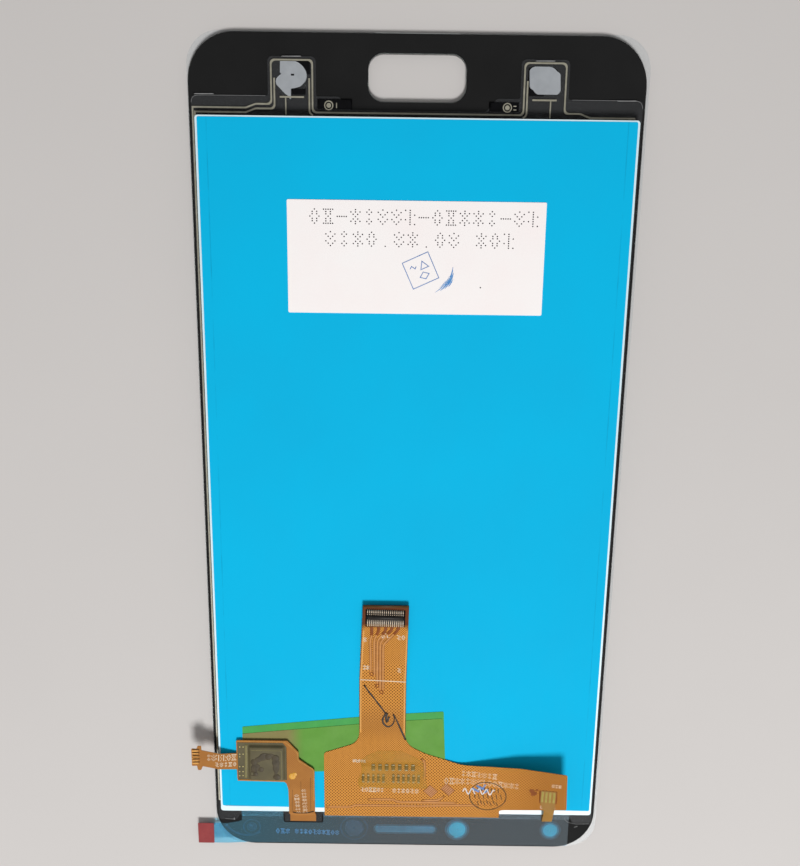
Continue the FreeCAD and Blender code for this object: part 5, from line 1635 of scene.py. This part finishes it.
@dataclass(frozen=True)
class TouchFlex:
    """Touch flex with its chip, cover film and contact tail."""

    cover_foot: float = 0.03
    cover_rise: float = 0.45

    def cover_height(self, x: Array, y: Array) -> Array:
        """Height of the cover film: level round the chip, and a soft step up over it."""
        chip = Place.of("touch_ic")
        over = hump(x, y, (chip.left, chip.low, chip.right, chip.top), 0.55)
        return chip.bottom + self.cover_foot + self.cover_rise * over

    def build_cover(self) -> None:
        """Make the smoky cover film over the chip, with its upper right corner cut off."""
        place = Place.of("touch_ic_cover")
        y = np.linspace(place.low + 0.3, place.top - 0.32, 70)
        left = np.full(y.shape, place.left + 0.1)
        right = place.right - 0.05 - np.clip(y - (place.top - 1.2), 0, 0.9) * 0.8
        x, rows = between_sides(y, left, right, 80)
        grid = np.stack([x, rows, self.cover_height(x, rows)], axis=2)
        piece = sheet(grid, 0.02).to_object("board_cover", Finishes.smoke_film.build())
        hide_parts("touch_ic_cover")

    def build_cover_marks(self) -> None:
        """Make what shows through the cover: a dark blot, lighter and darker bands, and gold dots."""
        ground = self.cover_height
        route = [(-28.9, -57.0), (-28.6, -55.2), (-28.6, -54.0), (-27.2, -53.1), (-26.1, -52.5),
                 (-24.9, -52.8), (-24.5, -54.2), (-24.6, -57.5)]
        arch = spread(bend_round(route, 0.8), 0.25)
        share = np.linspace(0, 1, len(arch))
        widths = 1.15 + 0.35 * np.sin(19 * share) + 0.2 * np.sin(47 * share)
        middles = [(-28.3, -55.1), (-27.4, -55.6), (-28.7, -54.1), (-24.6, -53.2), (-26.0, -52.9),
                   (-28.4, -56.6), (-24.4, -57.2)]
        lumps = drums(np.array(middles), np.array([0.85, 0.6, 0.7, 0.8, 0.7, 0.5, 0.7]),
                      np.linspace(0.012, 0.030, 7), ground)
        blot = Patch.joined([band(arch, widths, 0.010, ground), lumps])
        blot.to_object("board_blot", Finishes.board_blob.build())
        light = [band(spread(np.array([(-30.15, -50.6), (-30.2, -54.0), (-30.35, -57.7)]), 0.4),
                      0.55, 0.005, ground)]
        Patch.joined(light).to_object("board_light_bands", Finishes.light_khaki.build())
        line = spread(np.array([(-29.2, -51.58), (-23.5, -51.6), (-23.5, -57.8)]), 0.3)
        Patch.joined([band(line, 0.13, 0.012, ground)]).to_object("board_line", Finishes.light_khaki.build())
        dots = np.array([(-31.36, -51.18), (-30.72, -51.17), (-31.4, -52.69), (-30.76, -52.68),
                         (-31.42, -53.25),
                         (-31.48, -55.34), (-30.84, -55.33), (-31.51, -56.39), (-30.87, -56.38),
                         (-31.53, -57.25), (-30.89, -57.24)])
        drums(dots, 0.15, 0.02, ground).to_object("board_dots", Finishes.pale_gold.build())

    def build_edges(self) -> None:
        """Make the bright orange border of the board and leg, and the yellow glue spot."""
        ground = TouchGround()
        paths = [[(-31.9, -50.02), (-22.75, -50.02), (-20.5, -52.3), (-20.5, -53.9), (-17.55, -55.75),
                  (-17.55, -62.8)],
                 [(-31.95, -58.25), (-22.9, -58.4)]]
        bands = [band(spread(bend_round(path, 0.4), 0.3), 0.26, 0.012, ground) for path in paths]
        Patch.joined(bands).to_object("board_border", Finishes.board_line.build())
        middles = np.array([(-21.55, -57.3), (-21.1, -56.9)])
        spot = drums(middles, np.array([0.75, 0.5]), np.array([0.008, 0.014]), ground)
        spot.to_object("glue_spot", Finishes.glue_yellow.build())
        lines = [band(spread(np.array([(-19.95, -58.4), (-20.0, -65.2)]), 0.4), 0.09, 0.012, ground),
                 band(spread(np.array([(-18.14, -57.6), (-18.2, -65.2)]), 0.4), 0.09, 0.012, ground),
                 band(spread(np.array([(-21.6, -60.2), (-21.7, -65.2)]), 0.4), 0.07, 0.012, ground)]
        Patch.joined(lines).to_object("leg_lines", Finishes.brown_mark.build())

    def build_prints(self) -> None:
        """Make plain marks where the leg and the tail have print, and the pen arc."""
        ground = TouchGround()
        rows = [print_row(ornaments(6, 5), 0.78, 0.13, (-20.85, -61.6), -86.0),
                print_row(ornaments(9, 1, 2), 0.74, 0.13, (-19.45, -60.4), -87.5),
                print_row(ornaments(6, 5, 3), 0.92, 0.19, (-37.1, -53.1), -3.0),
                print_row(ornaments(5, 1, 1), 0.80, 0.13, (-35.6, -54.6), -4.0)]
        radii = np.repeat([0.085, 0.085, 0.115, 0.10], [len(row) for row in rows])
        dots = drums(np.concatenate(rows), radii, 0.02, ground)
        dots.to_object("touch_white_print", Finishes.white_print.build())
        pen = spread(bend_round([(-21.62, -65.3), (-21.0, -65.5), (-20.1, -65.56), (-18.8, -65.48),
                                 (-17.6, -65.1)], 0.8), 0.2)
        band(pen, 0.2, 0.06, ground).to_object("leg_pen_arc", Finishes.pen_black.build())
        gaps = np.stack([np.full(5, -39.45), np.linspace(-51.35, -54.0, 5)], axis=1)
        dark = blocks(gaps, np.array([1.3, 0.2]), 0.0, 0.085, ground)
        dark.to_object("tail_gaps", Finishes.brown_mark.build())

    def build(self) -> None:
        """Dress the flex and its pieces, and make its cover and marks."""
        Finishes.touch_flex.dress("touch_flex")
        Finishes.warm_gold.dress("touch_contacts")
        Finishes.backing.dress("touch_stiffener")
        Finishes.silicon.dress("touch_ic")
        self.build_cover()
        self.build_cover_marks()
        self.build_edges()
        self.build_prints()


@dataclass(frozen=True)
class BorderFilm:
    """Light blue film over the lower border, with its red pull tab."""

    def build(self) -> None:
        """Dress the film and its tab."""
        Finishes.light_blue_film.dress("bezel_film")
        Finishes.red_tab.dress("pull_tab")
        self.build_border_marks()
        self.build_holes()

    def build_border_marks(self) -> None:
        """Make what shows dimly through the film: rings, discs, a swirl and a row of plain marks."""
        ground = Level(Place.of("ink_border").upper)
        marks = [band(arc((-29.95, -70.3), (1.65, 1.65), 0, 350, 30), 0.26, 0.006, ground, closed=True),
                 band(arc((-9.97, -70.21), (2.6, 2.6), 0, 353, 40), 0.3, 0.006, ground, closed=True),
                 band(spread(bend_round([(-35.0, -69.95), (-33.7, -71.4), (-31.9, -72.1), (-29.8, -72.15),
                                         (-28.4, -71.3)], 1.0), 0.4), 0.5, 0.004, ground),
                 self.ring(-29.95, -70.3, 0.0, 1.0, 0.003), self.ring(-9.97, -70.21, 0.0, 2.0, 0.003)]
        Patch.joined(marks).to_object("border_dim_marks", Finishes.dim_blue.build())
        rows = [print_row(ornaments(3, 5), 0.95, 0.16, (-24.9, -71.1), -2.0),
                print_row(ornaments(10, 1, 2), 0.88, 0.15, (-21.2, -71.15), -1.5)]
        drums(np.concatenate(rows), 0.14, 0.006, ground).to_object("border_print", Finishes.mark_blue.build())

    def ring(self, x: float, y: float, inner: float, outer: float, rise: float) -> Patch:
        """Flat ring on the ink of the border; an inner radius of nothing gives a disc.

        Args:
            x: Across place of the centre.
            y: Lengthwise place of the centre.
            inner: Radius of the opening.
            outer: Outer radius.
            rise: Height over the ink.

        Returns:
            Closed ring, in millimetres.
        """
        inner = max(inner, 0.02)
        middle = (inner + outer) / 2
        ground = Level(Place.of("ink_border").upper)
        return band(arc((x, y), (middle, middle), 0, 350, 36), outer - inner, rise, ground, closed=True)

    def build_holes(self) -> None:
        """Paint the soft light in the two round holes and the ear slot of the border, as discs, halos and
        haze laid on the ink.
        """
        first, second = (10.24, -70.34), (28.46, -70.23)
        holes = [self.ring(*first, 0.0, 1.7, 0.010), self.ring(*second, 0.0, 1.45, 0.010)]
        halos = [self.ring(*first, 1.6, 2.0, 0.007), self.ring(*second, 1.35, 1.75, 0.007)]
        haze = [self.ring(*first, 1.9, 2.45, 0.004), self.ring(*second, 1.65, 2.15, 0.004),
                self.slot_shape(1.05, 0.004)]
        # painted light: these marks stand for light seen through the holes and the slot
        Patch.joined(holes).to_object("border_hole_painted_light", Finishes.hole_painted_light.build())
        Patch.joined(halos).to_object("border_painted_halos", Finishes.halo_painted_light.build())
        Patch.joined(haze).to_object("border_painted_haze", Finishes.haze_painted_light.build())
        self.slot_shape(0.7, 0.010).to_object("border_slot_painted_light", Finishes.slot_painted_light.build())

    def slot_shape(self, radius: float, rise: float) -> Patch:
        """Flat round-ended bar over the ear slot.

        Args:
            radius: Radius of the ends, half the width of the bar.
            rise: Height over the ink.

        Returns:
            Closed bar, in millimetres.
        """
        turn = np.radians(np.linspace(-86, 86, 25))
        reach = radius * np.cos(turn)
        x, y = between_sides(-70.39 + radius * np.sin(turn), -5.15 - reach, 5.25 + reach, 30)
        height = Place.of("ink_border").upper + rise
        return sheet(np.stack([x, y, np.full(x.shape, height)], axis=2), rise + SINK)


@dataclass(frozen=True)
class Studio:
    """Pale floor, soft light from the part's lower end, and the camera of the photograph."""

    camera_place: tuple[float, float, float] = (-0.0020864, 0.0409202, 0.1426226)
    camera_turn: tuple[float, float, float] = (-12.6152, 0.1358, 0.7536)
    focal_pixels: float = 830.0
    picture_height: float = 866.0
    sensor: float = 36.0
    floor_half: float = 1.6
    floor_colour: Colour = srgb(206, 202, 199)
    key_elevation: float = 53.0
    key_azimuth: float = 9.0
    key_distance: float = 0.85
    key_size: float = 0.25
    key_power: float = 6.15
    horizon: Colour = (0.54, 0.535, 0.53)
    zenith: Colour = (0.235, 0.235, 0.24)

    def build_camera(self) -> None:
        """Set the camera where the photograph was taken from."""
        data = bpy.data.cameras.new("camera")
        data.sensor_width = self.sensor
        data.lens = self.focal_pixels / self.picture_height * self.sensor
        data.clip_start = 0.005
        data.clip_end = 20.0
        camera = bpy.data.objects.new("camera", data)
        camera.location = self.camera_place
        camera.rotation_euler = [math.radians(angle) for angle in self.camera_turn]
        bpy.context.scene.collection.objects.link(camera)
        bpy.context.scene.camera = camera

    def build_floor(self) -> None:
        """Lay a wide, pale sheet under the part."""
        half = self.floor_half
        mesh = bpy.data.meshes.new("floor")
        corners = [(-half, -half, 0), (half, -half, 0), (half, half, 0), (-half, half, 0)]
        mesh.from_pydata(corners, [], [(0, 1, 2, 3)])
        mesh.materials.append(Finish("floor_paper", self.floor_colour, srgb(208, 204, 201), cloud_size=60.0,
                                     roughness=0.8, specular=0.1, unevenness=0.003).build())
        floor = bpy.data.objects.new("floor", mesh)
        bpy.context.scene.collection.objects.link(floor)

    def build_light(self) -> None:
        """Hang one soft light at the lower end and make the room pale, and dimmer overhead."""
        light = bpy.data.lights.new("key", "AREA")
        light.energy = self.key_power
        light.size = self.key_size
        lamp = bpy.data.objects.new("key", light)
        slope = math.radians(self.key_elevation)
        side = math.radians(self.key_azimuth)
        along = self.key_distance * math.cos(slope)
        lamp.location = (along * math.sin(side), -along * math.cos(side), self.key_distance * math.sin(slope))
        lamp.rotation_euler = (math.radians(90 - self.key_elevation), 0.0, side)
        bpy.context.scene.collection.objects.link(lamp)
        world = bpy.data.worlds.new("room")
        bpy.context.scene.world = world
        world.use_nodes = True
        graph = Graph(world.node_tree)
        height = graph.add("SeparateXYZ", {0: graph.add("TexCoord").outputs["Generated"]}).outputs[2]
        ramp = graph.add("MapRange", {"Value": height, "From Min": 0.1, "From Max": 0.85, "To Min": 0.0,
                                      "To Max": 1.0}, interpolation_type="SMOOTHSTEP")
        colour = graph.blend(ramp.outputs[0], self.horizon, self.zenith)
        background = world.node_tree.nodes["Background"]
        world.node_tree.links.new(colour, background.inputs["Color"])
        background.inputs["Strength"].default_value = 1.0

    def build(self) -> None:
        """Set camera, floor and light, and the plain view."""
        self.build_camera()
        self.build_floor()
        self.build_light()
        bpy.context.scene.view_settings.view_transform = "Standard"


def main() -> None:
    """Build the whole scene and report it."""
    logging.basicConfig(level=logging.INFO, format="%(name)s: %(message)s")
    Studio().build()
    GlassFront().build()
    DisplayModule().build()
    Sticker().build()
    DisplayFlex().build()
    TouchFlex().build()
    BorderFilm().build()


if __name__ == "__main__":
    main()
